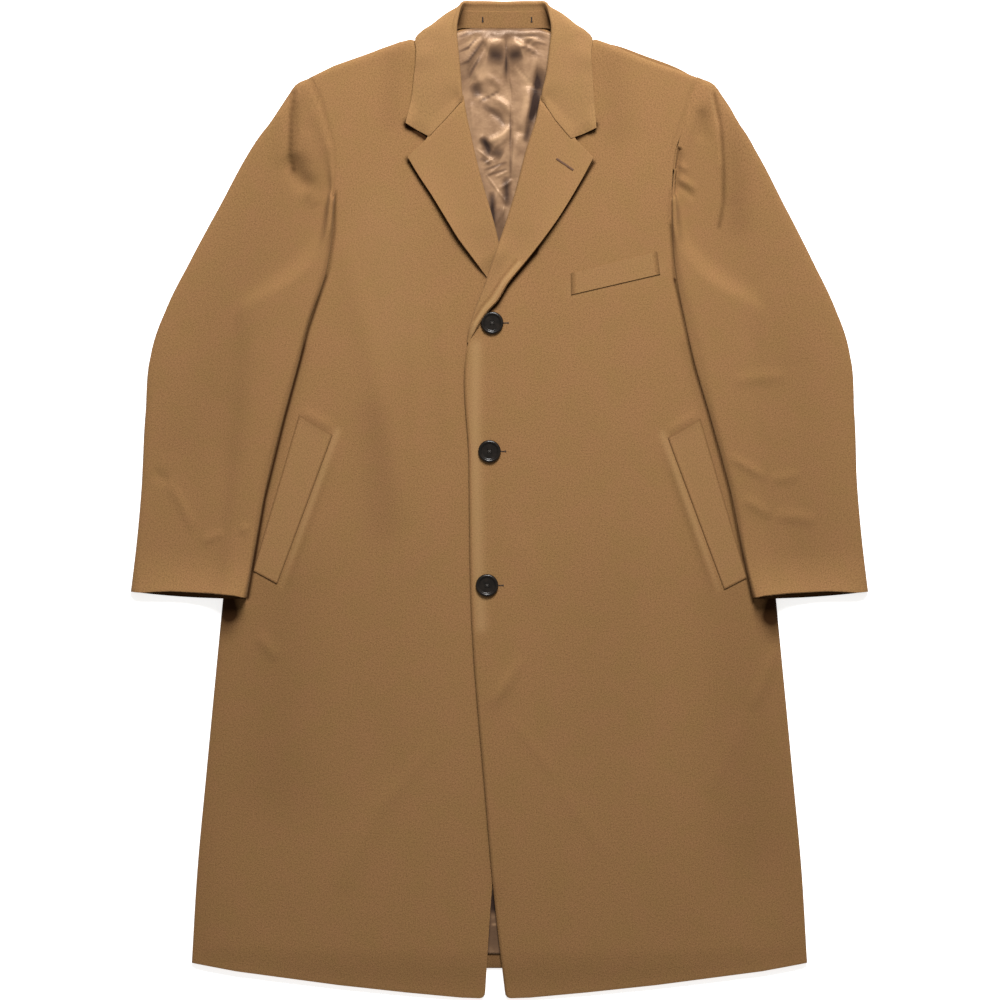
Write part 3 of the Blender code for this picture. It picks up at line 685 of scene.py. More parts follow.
def new_piece(form: bmesh.types.BMesh, name: str, finish: bpy.types.Material) -> bpy.types.Object:
    """Turn a form into an object of the scene.

    Args:
        form: the form, which is freed.
        name: the object's name.
        finish: its material.

    Returns:
        The object.
    """
    mesh = bpy.data.meshes.new(name)
    form.to_mesh(mesh)
    form.free()
    mesh.materials.append(finish)
    piece = bpy.data.objects.new(name, mesh)
    bpy.context.scene.collection.objects.link(piece)
    return piece


@dataclass
class Cloth:
    """A cloth piece: an outer face through a grid of points, with its wall inside."""

    name: str
    points: np.ndarray
    thickness: float
    finish: bpy.types.Material
    facing_up: Point = (0.5, 0.5)
    edge_round: float = 0.9
    edge_steps: int = 3
    edge_angle: float = 58.0
    # Painted light and shade at each point: below 0 darker, above 0 lighter.
    tone: np.ndarray | None = None

    def looks_down(self) -> bool:
        """Tell which way the grid's order of columns turns the outer face.

        Returns:
            True if it turns down.
        """
        rows, columns = self.points.shape[:2]
        row, column = (int(part * (count - 2)) for part, count in zip(self.facing_up, (rows, columns)))
        corner = self.points[row, column]
        beside, beyond = self.points[row, column + 1], self.points[row + 1, column]
        return np.cross(beside - corner, beyond - corner)[2] < 0

    @staticmethod
    def cut_places(points: np.ndarray) -> np.ndarray:
        """Find where each point lies on the flat cut.

        Args:
            points: the grid.

        Returns:
            The places, in metres.
        """
        across = np.linalg.norm(np.diff(points, axis=1), axis=2).cumsum(axis=1)
        across = np.pad(across, ((0, 0), (1, 0)))
        across -= across[:, across.shape[1] // 2, None]
        middle = points.shape[1] // 2
        along = np.linalg.norm(np.diff(points[:, middle], axis=0), axis=1).cumsum()
        along = np.broadcast_to(np.concatenate([[0.0], along])[:, None], across.shape)
        return np.dstack([across, along]) * MM

    def build(self) -> bpy.types.Object:
        """Build the piece with its painted light and shade, its wall and its rounded edge.

        Returns:
            The piece as an object of the scene.
        """
        order = slice(None, None, -1 if self.looks_down() else 1)
        points = self.points[:, order]
        rows, columns = points.shape[:2]
        form = bmesh.new()
        bmesh.ops.create_grid(form, x_segments=columns - 1, y_segments=rows - 1, size=1.0)
        form.verts.ensure_lookup_table()
        for vert, place in zip(form.verts, (points.reshape(-1, 3) + ORIGIN) * MM):
            vert.co = Vector(place)
        cut = form.loops.layers.uv.new("cut")
        places = self.cut_places(points).reshape(-1, 2)
        for face in form.faces:
            face.smooth = True
            for loop in face.loops:
                loop[cut].uv = places[loop.vert.index]
        piece = new_piece(form, self.name, self.finish)
        # The tone attribute carries the painted light and shade to the finish.
        if self.tone is not None:
            painted_shading = piece.data.attributes.new("tone", "FLOAT", "POINT")
            painted_shading.data.foreach_set("value", self.tone[:, order].ravel())
        wall = piece.modifiers.new("Wall", "SOLIDIFY")
        wall.thickness = self.thickness * MM
        wall.offset = -1.0
        if self.edge_round:
            edge = piece.modifiers.new("Edge", "BEVEL")
            edge.width = self.edge_round * MM
            edge.segments = self.edge_steps
            edge.limit_method = "ANGLE"
            edge.angle_limit = math.radians(self.edge_angle)
        bpy.context.view_layer.update()
        return piece


def place_piece(piece: bpy.types.Object, slot: str, *nodes: str) -> bpy.types.Object:
    """Ride a piece on the coat's body.

    Args:
        piece: the piece.
        slot: not used.
        *nodes: the nodes that it stands for.

    Returns:
        The piece.
    """
    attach(piece, "root")
    if nodes:
        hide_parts(*nodes)
    count = sum(len(face.vertices) - 2 for face in piece.data.polygons)
    LOG.info("%s made, %d triangles before its wall", piece.name, count)
    return piece


def lay_down(piece: bpy.types.Object, stack: Stack, slot: str, *nodes: str) -> None:
    """Lay a cloth piece on the stack and place it on the coat's body."""
    stack.add(piece)
    place_piece(piece, slot, *nodes)


@dataclass
class Finishes:
    """The coat's materials."""

    wool: bpy.types.Material = field(default_factory=lambda: WoolFinish().build())
    satin: bpy.types.Material = field(default_factory=lambda: SatinFinish().build())
    horn: bpy.types.Material = field(default_factory=lambda: HornFinish().build())
    thread: bpy.types.Material = field(
        default_factory=lambda: ThreadFinish("brown_thread", (0.030, 0.016, 0.010, 1.0)).build()
    )
    # Grey thread, paler than the horn, that also stands in for the pale glint at a button's middle: partly
    # a painted highlight.
    grey_glint_thread: bpy.types.Material = field(
        default_factory=lambda: ThreadFinish("grey_glint_thread", (0.060, 0.052, 0.044, 1.0)).build()
    )
    warm_thread: bpy.types.Material = field(
        default_factory=lambda: ThreadFinish("chestnut_thread", (0.150, 0.070, 0.034, 1.0)).build()
    )


# The middle line leans a little: its x at four heights.
MIDDLE_Y = (-556.0, 238.0, 474.0, 560.0)
MIDDLE_X = (-1.8, 2.0, 4.2, 5.4)


def middle(y: np.ndarray | float) -> np.ndarray | float:
    """Return the x of the coat's middle line at a height."""
    return np.interp(y, MIDDLE_Y, MIDDLE_X)


# The coat leans to its left towards the shoulders: how far each side is moved at seven heights.
LEAN_Y = (35.0, 250.0, 344.0, 416.0, 466.0, 498.0, 524.0)
LEAN_X = {
    Side.RIGHT: (0.0, 1.5, 2.5, 3.0, 1.5, 0.0, 0.0),
    Side.LEFT: (0.0, 2.0, 4.0, 5.0, 12.0, 13.0, 9.0),
}
# Where the lean starts beside the middle, and how far on it is full.
LEAN_FROM = 80.0
LEAN_RUN = 110.0


def lean(plan: np.ndarray) -> np.ndarray:
    """Move plan places sideways as the shoulders lean, all but the middle of the coat.

    Args:
        plan: the plan places.

    Returns:
        The moved places.
    """
    moved = plan.copy()
    for side, shifts in LEAN_X.items():
        outside = ease((side.value * plan[..., 0] - LEAN_FROM) / LEAN_RUN)
        moved[..., 0] += outside * np.interp(plan[..., 1], LEAN_Y, shifts)
    return moved


def rolled_places(radius: float, width: float, steps: int) -> list[Point]:
    """Return places across a quarter-round roll at the start of a section.

    Args:
        radius: the roll's radius.
        width: the section's width.
        steps: how many steps its quarter turn takes.

    Returns:
        For each place before the flat cloth, its part of the width and its height from 0 to 1.
    """
    turns = [math.pi / 2 * step / steps for step in range(steps)]
    return [(radius / width * (1 - math.cos(turn)), math.sin(turn)) for turn in turns]


def roll_columns(
    width: float, even: int, start: float = 0.0, end: float = 0.0, steps: int = 7
) -> tuple[np.ndarray, np.ndarray]:
    """Place the columns of a section with rolled edges.

    Args:
        width: the section's width.
        even: how many even steps its flat part has.
        start: the radius of the roll at its start, or 0 for none.
        end: the radius of the roll at its end, or 0 for none.
        steps: how many steps a roll takes.

    Returns:
        The places from 0 to 1, and how high each stands, from 0 to 1.
    """
    first, last = start / width, 1 - end / width
    columns = rolled_places(start, width, steps) if start else []
    columns += [(first + (last - first) * part / even, 1.0) for part in range(even + 1)]
    if end:
        columns += [(1 - place, height) for place, height in reversed(rolled_places(end, width, steps))]
    return tuple(np.array(columns).T)


@dataclass
class Back:
    """The back panel, flat where it rests, and its satin lining."""

    wool: float = 2.4
    satin: float = 1.0
    gap: float = 0.3
    satin_loft: float = 1.9
    row_step: float = 8.0
    columns: int = 121
    edge_fade: int = 6
    lining_inset: float = 17.0
    lining_corner: Point = (218.0, 490.0)
    lining_step: float = 1.3
    neck_half: float = 78.0
    # Where the back lies over the collar's fall: its lift, the half width of the fall and its
    # run-out, the heights between which the back climbs, and the height of the fall's middle.
    neck_lift: float = 3.0
    lift_half: float = 128.0
    lift_run: float = 18.0
    lift_from: float = 506.0
    lift_to: float = 520.0
    lift_middle: float = 540.0
    # The lining's rows and columns: its hem, its plain middle and its neck, and its sides.
    hem_length: float = 105.0
    hem_rows: int = 35
    plain_rows: int = 33
    neck_length: float = 275.0
    side_columns: int = 13
    under_rounds: int = 2
    # Where the satin's loft in the neck starts and is full, and where it ends at the top seam.
    loft_from: float = 300.0
    loft_run: float = 30.0
    loft_gain: float = 2.5
    top_seam: float = 560.5
    top_run: float = 5.0
    # How far the lining's top edge lies below the back's, and more for each mm to the side.
    below_edge: float = 0.1
    below_side: float = 0.03
    # Hem to neck: side_w and side_y are the ends of a section, mid_y its middle.
    sections: tuple[Row, ...] = (
        (365.2, -550, -556.9),
        (358.6, -441, -450),
        (347.6, -322, -336),
        (329.4, -131.5, -143.4),
        (311, 59, 53),
        (297.9, 190, 184),
        (291.5, 237.4, 231),
        (250, 275.5, 267),
        (224, 326.7, 318),
        (211.8, 386.2, 380),
        (217.8, 445.7, 440),
        (225, 474, 500),
        (226, 498.6, 561),
    )
    # The top edge from the shoulder's end to the middle of the neck: w and y.
    top_edge: tuple[Point, ...] = (
        (226, 498.6), (203.5, 512.5), (164.2, 528.4), (126.1, 542.2), (113, 544), (105, 541),
        (98, 537), (90, 536.5), (80, 541), (70, 547.5), (60, 555), (48, 560.2), (20, 561.2),
        (0, 561),
    )
    # Folds of the satin in the neck: x0, y0, x1, y1, bend, half_width, height.
    satin_folds: tuple[Row, ...] = (
        (-17, 538, 7, 543, 2, 8.4, 4), (10, 542, 33, 537, -2, 8.7, 4),
        (-46, 510, -14, 551, 0, 2.8, 1.6), (-37, 536, -11, 554, 0, 2.4, 1.5),
        (-48, 527, -37, 541, 0, 2.1, 1.3), (-42, 487, -16, 533, 1, 3.1, 1.8),
        (-43, 548, -25, 557, 0, 2.1, 1.1), (-52, 540, -30, 552, 1, 1.8, 0.9),
        (-34, 500, -22, 522, 1, 2.4, 1.2), (12, 550, 39, 531, 0, 2.8, 1.5),
        (25, 549, 59, 542, 1, 2.4, 1.4), (39, 544, 60, 531, 0, 2.1, 1.3),
        (15, 554, 46, 557, 0, 2.1, 1), (30, 540, 62, 520, 1, 1.8, 1),
        (-12, 555, 12, 551, 0, 2.2, 1), (51, 532, 33, 494, -2, 7, 3.2),
        (33, 494, 24, 438, 4, 6.3, 3.6), (25, 438, 17, 383, -4, 5.6, 3),
        (52, 500, 38, 450, 4, 4, -1.6), (-19, 504, 2, 487, 4, 3.8, 2.2),
        (-30, 510, -21, 494, 0, 4.5, 2), (-30, 492, -12, 480, -2, 5, -1.8),
        (-8, 476, 14, 456, 5, 3.8, 2.3), (-14, 462, 8, 444, 4, 4.6, -2),
        (-18, 426, 14, 446, -5, 4.5, 2.6), (-8, 420, 12, 435, -2, 2.8, 1.4),
        (-24, 428, -8, 402, 3, 5, -2.2), (-34, 473, -30, 438, 0, 3.8, 1.7),
        (-21, 434, -19, 417, 0, 2.4, 1.1), (-14, 386, 3, 399, 0, 1.8, 0.9),
        (-6, 383, 11, 391, 0, 1.8, 0.9), (-20, 398, -4, 408, 0, 1.5, 0.8),
        (-29, 418, -7, 402, 0, 1.3, 0.8), (-17, 388, 9, 352, 0, 1.4, 0.9),
        (-2, 370, 15, 382, -2, 2.4, 1.4), (-11, 345, -1, 368, 0, 2.8, 1.3),
        (-6, 326, 7, 349, 0, 2.4, 1.1), (2, 322, 8, 362, 1, 1.6, 0.8),
        (9, 510, 15, 489, 0, 2.8, 1.4), (0, 560, 4, 470, 2, 14, -1),
    )
    # Seams of the lining, each a sunk line.
    satin_seams: tuple[Row, ...] = (
        (9, 556, 9, 510, 0, 1.3, -1), (9, 512, 14, 472, 1, 1.3, -1),
        (14, 474, 13, 386, 1, 1.3, -1), (-25, 473, 1, 487, 0, 1.4, -0.7),
        (20, 513, 48, 482, 0, 1.4, -0.7),
    )
    # Painted light and shade on the satin: lines like the folds, with a tone for a height.
    satin_painted_shading: tuple[Row, ...] = (
        (-14, 531, 6, 526, 0, 8.5, -0.95), (10, 526, 27, 532, 0, 8, -0.9),
        (8, 530, 8, 504, 0, 4, -0.5), (8, 550, 8, 500, 0, 1.4, -0.5),
        (-44, 512, -18, 547, 0, 1.6, -0.8), (-47, 519, -21, 551, 1, 1.5, 0.4),
        (-45, 527, -26, 549, 1, 1.4, -0.5), (-43, 534, -30, 552, 0, 1.4, 0.4),
        (-40, 505, -12, 543, 0, 1.4, 0.35), (-36, 493, -22, 519, 0, 1.6, 0.35),
        (22, 539, 46, 527, 2, 1.5, -0.5), (20, 553, 58, 547, 2, 1.4, -0.4),
        (30, 549, 60, 541, 2, 1.4, 0.4), (34, 541, 60, 529, 2, 1.4, 0.35),
        (-42, 503, -22, 527, 0, 4.5, -0.45), (-46, 544, -38, 533, 0, 4, -0.6),
        (-31, 496, -24, 479, 0, 6, -0.75), (-39, 498, -18, 538, 0, 1.4, -0.4),
        (-48, 556, 58, 556, 0, 7, -0.22), (-18, 556, 28, 556, 0, 8, -0.2),
        (-46, 552, -18, 560, 0, 1.4, -0.4), (18, 549, 56, 538, 3, 1.5, -0.4),
        (26, 545, 54, 530, 3, 1.4, -0.4), (-16, 546, 6, 547, 0, 2.4, 0.4),
        (12, 546, 30, 540, 0, 2.4, 0.3), (-30, 517, -8, 500, 0, 7, 0.3),
        (48, 530, 30, 487, -2, 4, 0.3), (31, 492, 23, 445, 3, 4.5, 0.5),
        (51, 516, 42, 484, 0, 4.6, -1.5), (43, 490, 35, 446, 2, 4.6, -1.5),
        (35, 450, 30, 425, 1, 3.6, -0.8), (17, 516, 50, 481, 0, 1.4, 0.5),
        (-25, 473, 1, 487, 0, 1.4, -0.5), (-36, 470, -30, 430, 0, 4, 0.2),
        (-8, 474, 16, 452, 5, 3.2, 0.2), (6, 419, 20, 408, 0, 7, 0.3),
        (-45, 521, -42, 502, 0, 3.4, -0.7), (-22, 468, 6, 444, 5, 3.6, -0.55),
        (-16, 426, 12, 446, -5, 3.2, 0.55), (-26, 446, -18, 430, 0, 5, 0.2),
        (-23, 432, -12, 408, 3, 4.6, -1.1), (-8, 416, 4, 409, 0, 6.5, -0.7),
        (-22, 408, -10, 398, 0, 3, -0.5), (-19, 392, 10, 402, 0, 1.4, -0.5),
        (-17, 385, 10, 394, 0, 1.4, -0.4), (13, 470, 13, 380, 0, 1.4, -0.45),
        (-9, 368, -8, 322, 0, 3.6, -1), (8, 386, 9, 348, 0, 4.2, -0.9),
        (0, 350, 0, 302, 0, 9, -0.4), (-6, -462, -6, -494, 0, 7, -1.2),
        (-6, -494, -6, -540, 0, 9, -0.45), (-7, -503, -6, -507, 0, 3.5, 0.7),
        (-13, -480, -17, -545, 0, 3, -1), (0, -480, 5, -545, 0, 3, -1),
    )
    # Painted shade on the back's hem between the fronts: half width, tone and places.
    hem_painted_shade: tuple[Line, ...] = ((14.0, -0.35, (-7.0, -530.0), (-6.0, -556.0)),)

    def plan(self, rows: np.ndarray, across: np.ndarray, top_edge: list[Point]) -> np.ndarray:
        """Work out the plan of sections that dip from the sides to the middle.

        Args:
            rows: the sections.
            across: places across them, from 0 to 1.
            top_edge: the top edge from the shoulder's end to the middle.

        Returns:
            The plan places.
        """
        half = np.abs(2 * across - 1)
        parts = row_parts(rows)
        plan = np.empty((len(rows), len(across), 2))
        plan[..., 0] = rows[:, None, 0] * (2 * across - 1)[None, :]
        dip = (1 - half**2)[None, :] * (rows[:, 4] - rows[:, 1])[:, None]
        plan[..., 1] = rows[:, None, 1] + dip
        curve = Curve(top_edge)
        edge = curve.at((1 - half) * curve.length)
        edge[:, 0] *= np.sign(2 * across - 1)
        plan += (parts**self.edge_fade)[:, None, None] * (edge - plan[-1])
        plan[..., 0] += middle(plan[..., 1]) * (1 - half)[None, :]
        return plan

    def floor(self, plan: np.ndarray) -> np.ndarray:
        """Work out the height of the under face: flat, but lifted over the collar's fall.

        Args:
            plan: the plan places.

        Returns:
            The height at each place.
        """
        away = np.abs(plan[..., 0] - middle(self.lift_middle))
        climb = ease((plan[..., 1] - self.lift_from) / (self.lift_to - self.lift_from))
        return self.neck_lift * ease((self.lift_half - away) / self.lift_run) * climb

    def rows(self, inset: float, step: float) -> np.ndarray:
        """Draw the sections in from the sides and the hem.

        Args:
            inset: how far they are drawn in.
            step: the distance between two rows.

        Returns:
            The sections.
        """
        table = [[w - inset, y, w - inset, y, mid] for w, y, mid in self.sections]
        for column in (1, 3, 4):
            table[0][column] += inset
        return smooth_rows(table, step)

    def make_panel(self, stack: Stack, finishes: Finishes) -> None:
        """Make the wool back.

        Args:
            stack: what it lies on.
            finishes: the coat's materials.
        """
        rows = self.rows(0.0, self.row_step)
        plan = lean(self.plan(rows, np.linspace(0, 1, self.columns), list(self.top_edge)))
        points = np.dstack([plan, self.floor(plan) + self.wool])
        # Painted shade on the hem between the fronts.
        tone = line_lift(plan, self.hem_painted_shade)
        piece = Cloth("back_panel", points, self.wool, finishes.wool, tone=tone).build()
        lay_down(piece, stack, "wool", "back")

    def neck_columns(self, width: float) -> np.ndarray:
        """Place columns across the lining, close together in the neck opening.

        Args:
            width: the lining's width.

        Returns:
            Their places, from 0 to 1.
        """
        share = self.neck_half / width / 2
        fine = np.linspace(0.5 - share, 0.5 + share, round(2 * self.neck_half / self.lining_step) + 1)
        side = np.linspace(0.0, 0.5 - share, self.side_columns + 1)[:-1]
        return np.concatenate([side, fine, 1 - side[::-1]])

    def make_lining(self, stack: Stack, finishes: Finishes) -> None:
        """Make the satin lining, with its folds and seams in the neck opening.

        Args:
            stack: what it lies on.
            finishes: the coat's materials.
        """
        w, y = self.lining_corner
        table = self.rows(self.lining_inset, self.row_step)
        table[-1, :4] = (w, y, w, y)
        curve = Curve(table, section_spans(table))
        neck_from = curve.length - self.neck_length
        hem = np.linspace(0, self.hem_length, self.hem_rows + 1)[:-1]
        plain = np.linspace(self.hem_length, neck_from, self.plain_rows + 1)[:-1]
        neck = np.linspace(neck_from, curve.length, round(self.neck_length / self.lining_step) + 1)
        rows = curve.at(np.concatenate([hem, plain, neck]))
        top_edge = [
            (min(place, w), height - self.below_edge - self.below_side * place)
            for place, height in self.top_edge
        ]
        plan = lean(self.plan(rows, self.neck_columns(2 * w), top_edge))
        lift = fold_lift(plan, self.satin_folds)
        lift += fold_lift(plan, self.satin_seams)
        opened = 1 - np.abs(plan[..., 0] - middle(plan[..., 1])) / self.neck_half
        climb = ease((plan[..., 1] - self.loft_from) / self.loft_run)
        lift += self.satin_loft * ease(opened * self.loft_gain) * climb
        lift = np.maximum(lift, 0.0) * ease((self.top_seam - plan[..., 1]) / self.top_run)
        under = soften(np.maximum(stack.tops(plan, 0.0), self.wool), self.under_rounds)
        points = np.dstack([plan, under + self.gap + self.satin + lift])
        # Painted light and shade on the satin.
        tone = fold_lift(plan, self.satin_painted_shading)
        piece = Cloth(
            "back_satin_lining", points, self.satin, finishes.satin, edge_round=0.0, tone=tone
        ).build()
        lay_down(piece, stack, "satin", "back_lining")


# Where the right sleeve's inner fold lies on its front, from the armhole to the cuff.
RIGHT_SLEEVE_FOLD = (
    (-195.6, 363), (-196.8, 318), (-203.8, 273), (-227.6, 201.7), (-236.6, 166), (-256, 94.6),
    (-278.8, 1.8), (-292.6, -77.9), (-299.4, -117.2),
)


@dataclass
class Front:
    """One front panel, rolled down to the back at its side and shoulder."""

    side: Side
    wool: float = 2.6
    roll: float = 9.0
    row_step: float = 4.4
    columns: int = 132
    width: float = 320.0
    # Where the columns stand closer, beside the sleeve: their share, and the share they cover.
    dense: tuple[float, float] = (0.45, 0.3)
    floor: float = 2.7
    hem_corner: float = 7.0
    edge_fade: int = 6
    crown_power: float = 0.7
    drape_rounds: int = 60
    # The rolled shoulder's last rows, from where it starts to turn down: degrees.
    closing_turns: tuple[int, ...] = (90, 75, 60, 45, 30, 15)
    # Hem to shoulder: side_w and side_y are the side end of a section, under_x and over_x its
    # front-edge end on the right and left front, edge_y its height; fold is 1 where the side
    # rolls down to the back; the lofts lift the cloth.
    sections: tuple[Row, ...] = (
        (366, -550.4, -17.4, 7.4, -593, 1, 0, 1.2, 0),
        (359.4, -441, -10.1, -5.9, -476.6, 1, 0.4, 2, 0.2),
        (348.4, -322, 1.2, -17.3, -345.7, 1, 1, 2.6, 0.2),
        (330.2, -131.5, 11.9, -32.7, -149.3, 1, 1.4, 2.4, 0.2),
        (311.8, 59, 14.3, -36.3, 47, 1, 1.4, 2.4, 0.2),
        (298.7, 190, 14.3, -38, 182.7, 1, 1.2, 2.6, 0.2),
        (292.7, 237.4, 12.5, -24, 231.5, 0.9, 0.8, 2.8, 0.2),
        (264.2, 257.6, 3, -7.6, 271.9, 0, 0.4, 2.8, 0.2),
        (232, 282.6, -5.5, 5.6, 308.8, 0, 0.6, 3, 0.2),
        (204.7, 322, -16.6, 18.8, 350.5, 0, 1.2, 3.2, 0.2),
        (200.5, 363.5, -27, 29, 386.2, 0, 2.4, 3.2, 0.4),
        (203.8, 413.5, -37.8, 39.8, 427.8, 0, 3.2, 3.2, 0.6),
        (211.7, 448, -50.5, 55.5, 465.9, 0, 3.2, 3.2, 0.8),
        (217, 473, -63, 70.2, 505.2, 0.1, 2.6, 2.8, 0.8),
        (226, 499, -80, 88, 543, 1, 1, 1.6, 0.4),
    )
    # Along the hem and the shoulder: part of the way from the side, and how far the seam leaves
    # the straight line there.
    hem_curve: tuple[Point, ...] = (
        (0, 0), (0.15, -3.6), (0.5, -5.2), (0.73, -4.2), (0.92, -2.4), (1, 0),
    )
    shoulder_curves: dict[Side, tuple[Point, ...]] = field(
        default_factory=lambda: {
            Side.RIGHT: ((0.0, 3.4), (0.2, 9.0), (0.47, 11.0), (0.6, 12.4), (0.73, 13.6), (0.82, 12.6))
            + ((0.9, 6.6), (1, 0)),
            Side.LEFT: ((0.0, 2.4), (0.2, 4.8), (0.33, 5.2), (0.47, 7.0), (0.6, 9.4), (0.73, 12.2))
            + ((0.82, 12.6), (0.9, 6.6), (1, 0)),
        }
    )
    # Creases: x0, y0, x1, y1, bend, half_width, height.
    creases: tuple[Row, ...] = (
        (-76, -285, -147, -372, 3, 8, 0.6), (-120, -330, -190, -470, -6, 16, 1.2),
        (7, -254, 68, -333, 2, 6, 0.6), (68, -333, 138, -429, -3, 8, 0.45),
        (28, -187, -13, -247, 1, 6, 1.3), (328, -172, 298, -250, 3, 8, 1.4),
        (298, -250, 251, -352, -3, 12, 0.7), (-289, -160, -264, -190, 1, 7, 1.3),
        (-190.5, 84, -257, -104, 0, 6, 3), (192, 80, 259, -110, 0, 6, 3),
        (-196, 84, -238, 107, 0, 5, 1.4), (197, 80, 238, 103, 0, 5, 1.4),
        (60, -120, 30, -40, 6, 18, 0.7), (-60, 40, -120, -90, 8, 26, 0.6),
        (180, -300, 215, -520, 5, 30, 0.8), (-230, -250, -255, -500, -5, 30, 0.8),
        (90, 190, 150, 40, -8, 30, 0.6), (-192, 330, -114, -34, 6, 15, 1.6),
        (-103, 330, -101, 10, 0, 9, 0.8), (-70, 250, -64, 60, 3, 9, 1),
        (170, 430, 176, 300, -5, 20, 0.8),
    )
    # Grooves that the sleeves press into the fronts: half width, depth and places.
    grooves: tuple[Line, ...] = (
        (2.2, -1.4, *RIGHT_SLEEVE_FOLD),
        (2.2, -1.4)
        + ((203.5, 363.5), (202.6, 329), (207.9, 261.2), (222.5, 195.8), (231.7, 156.5), (247.4, 104.1))
        + ((272.4, 12.5), (288.6, -67.2), (301, -122.6)),
    )
    # Lines of painted shade and painted light: half width, tone and places. First the painted shade beside
    # the sleeves, then the painted shadows under the cuffs, the lapels and the collar, then broader painted
    # shading and lit bands.
    tones: tuple[Line, ...] = (
        (1.9, -0.6, *RIGHT_SLEEVE_FOLD),
        (2.2, -0.35, (-206, 266), *RIGHT_SLEEVE_FOLD[3:]),
        (7, -0.16, (-232, 180), (-254, 94.6), (-277, 1.8), (-291, -77.9)),
        (1.8, -0.55, (203.4, 329), (208.4, 261.2)),
        (1.9, -0.75)
        + ((208.4, 261.2), (222.9, 195.8), (232, 156.5), (247.8, 104.1), (272.8, 12.5), (289, -67.2))
        + ((301.4, -122.6),),
        (7, -0.14, (221, 185), (245, 104), (270, 12.5), (287, -67.2)),
        (11, -1.1, (-326, -112), (-319, -134)),
        (14, -0.5, (-328, -126), (-327, -150)),
        (11, -1.1, (328, -116), (321, -138)),
        (14, -0.5, (330, -130), (329, -154)),
        (2.3, -1.1, (-110, 404), (-80, 361.5), (-50.5, 311.5), (-15.5, 265.5)),
        (2.3, -1, (112, 401), (85, 356.5), (50.5, 306.5), (42.5, 295)),
        (3.4, -1.3, (42.5, 294), (19, 267), (9, 254.5), (-4, 232), (-18, 221)),
        (4.2, -2.2, (-109.5, 446.5), (-85.5, 431)),
        (4.2, -2.2, (112, 444), (87.5, 430)),
        (14, -0.1, (-127, 525), (-129, 452)),
        (20, -0.1, (134, 520), (140, 440)),
        (4, 0.2, (-192.5, 82), (-226, -10), (-259, -102)),
        (4, 0.2, (194, 78), (227, -14), (260, -106)),
        (9, 0.07, (86, 250), (190, 276)),
        (40, 0.05, (-140, 340), (-120, 200)),
        (22, -0.12, (-150, 100), (-138, -30)),
        (70, -0.05, (-150, -120), (-150, -260)),
        (70, -0.05, (130, -120), (130, -240)),
        (55, -0.14, (-262, -110), (-262, -330)),
        (50, -0.12, (280, -110), (300, -400)),
        (45, -0.07, (-340, -180), (-362, -540)),
        (30, -0.05, (345, -180), (362, -540)),
        (8, 0.12, (-355, -560), (-200, -586), (-25, -599)),
        (8, 0.12, (350, -560), (200, -586), (15, -599)),
    )
    # The left front's edge: a painted band of light along it, and the painted shade of its rim.
    edge_painted_light: Line = (7.5, 0.30, (-28.0, 184.0), (-29.0, 100.0), (-26.0, -60.0), (-22.0, -150.0))
    edge_painted_shade: float = -0.45
    edge_painted_shade_to: float = 0.70
    edge_painted_shade_run: float = 0.06

    def sections_in_place(self) -> np.ndarray:
        """Turn the table into this side's sections.

        Returns:
            Rows of plan ends, fold and lofts.
        """
        table = []
        for side_w, side_y, under_x, over_x, edge_y, *lofts in self.sections:
            edge_x = under_x if self.side is Side.RIGHT else over_x
            table.append((self.side.value * side_w, side_y, edge_x, edge_y, *lofts))
        turns = (math.radians(turn) for turn in self.closing_turns)
        closing = tuple(self.roll * (1 - math.cos(turn)) for turn in turns)
        return smooth_rows(table, self.row_step, closing)

    def round_corner(self, plan: np.ndarray) -> None:
        """Round the corner where the hem meets the front edge.

        Args:
            plan: the plan places, which are moved.
        """
        corner = plan[0, -1].copy()
        along_hem, along_edge = plan[0, -2] - corner, plan[1, -1] - corner
        along_hem /= np.linalg.norm(along_hem)
        along_edge /= np.linalg.norm(along_edge)
        centre = corner + (along_hem + along_edge) * self.hem_corner
        for place in (plan[0, -1], plan[0, -2], plan[1, -1]):
            away = place - centre
            if away @ along_hem < 0 and away @ along_edge < 0:
                place[:] = centre + away * min(1.0, self.hem_corner / np.linalg.norm(away))

    def make(self, stack: Stack, back: Back, finishes: Finishes) -> None:
        """Make the panel over what lies beneath it.

        Args:
            stack: what it lies on.
            back: the back, which its shoulder turns down to.
            finishes: the coat's materials.
        """
        rows = self.sections_in_place()
        across, down = roll_columns(self.width, self.columns, self.roll)
        first = self.roll / self.width
        flat = (across - first) / (1 - first)
        closer = first + (1 - first) * np.interp(flat, (0, self.dense[0], 1), (0, self.dense[1], 1))
        across = np.where(flat > 0, closer, across)
        parts = row_parts(rows)
        plan = sections(rows, across)
        hem = np.interp(across, *np.array(self.hem_curve).T)
        shoulder = np.interp(across, *np.array(self.shoulder_curves[self.side]).T)
        plan[..., 1] += ((1 - parts) ** self.edge_fade)[:, None] * hem
        plan[..., 1] += (parts**self.edge_fade)[:, None] * shoulder
        plan = lean(plan)
        fold, side_loft, crown_loft, edge_loft = (rows[:, column, None] for column in range(4, 8))
        ends = side_loft + (edge_loft - side_loft) * across
        loft = ends + (crown_loft - ends) * crown(across, self.crown_power)
        top = stack.drape(plan, self.drape_rounds) + self.wool + loft + fold_lift(plan, self.creases)
        top += line_lift(plan, self.grooves)
        standing = 1 - np.clip(fold, 0, 1) * (1 - down)
        top = self.floor + (top - self.floor) * standing
        turns = self.closing_turns[1:] + (0,)
        unturned = top[-len(turns) - 1].copy()
        for row, turn in enumerate(turns, start=-len(turns)):
            lowest = self.floor + back.floor(plan[row])
            turned = lowest + (unturned - lowest) * math.sin(math.radians(turn))
            top[row] = np.minimum(top[row], turned)
        self.round_corner(plan)
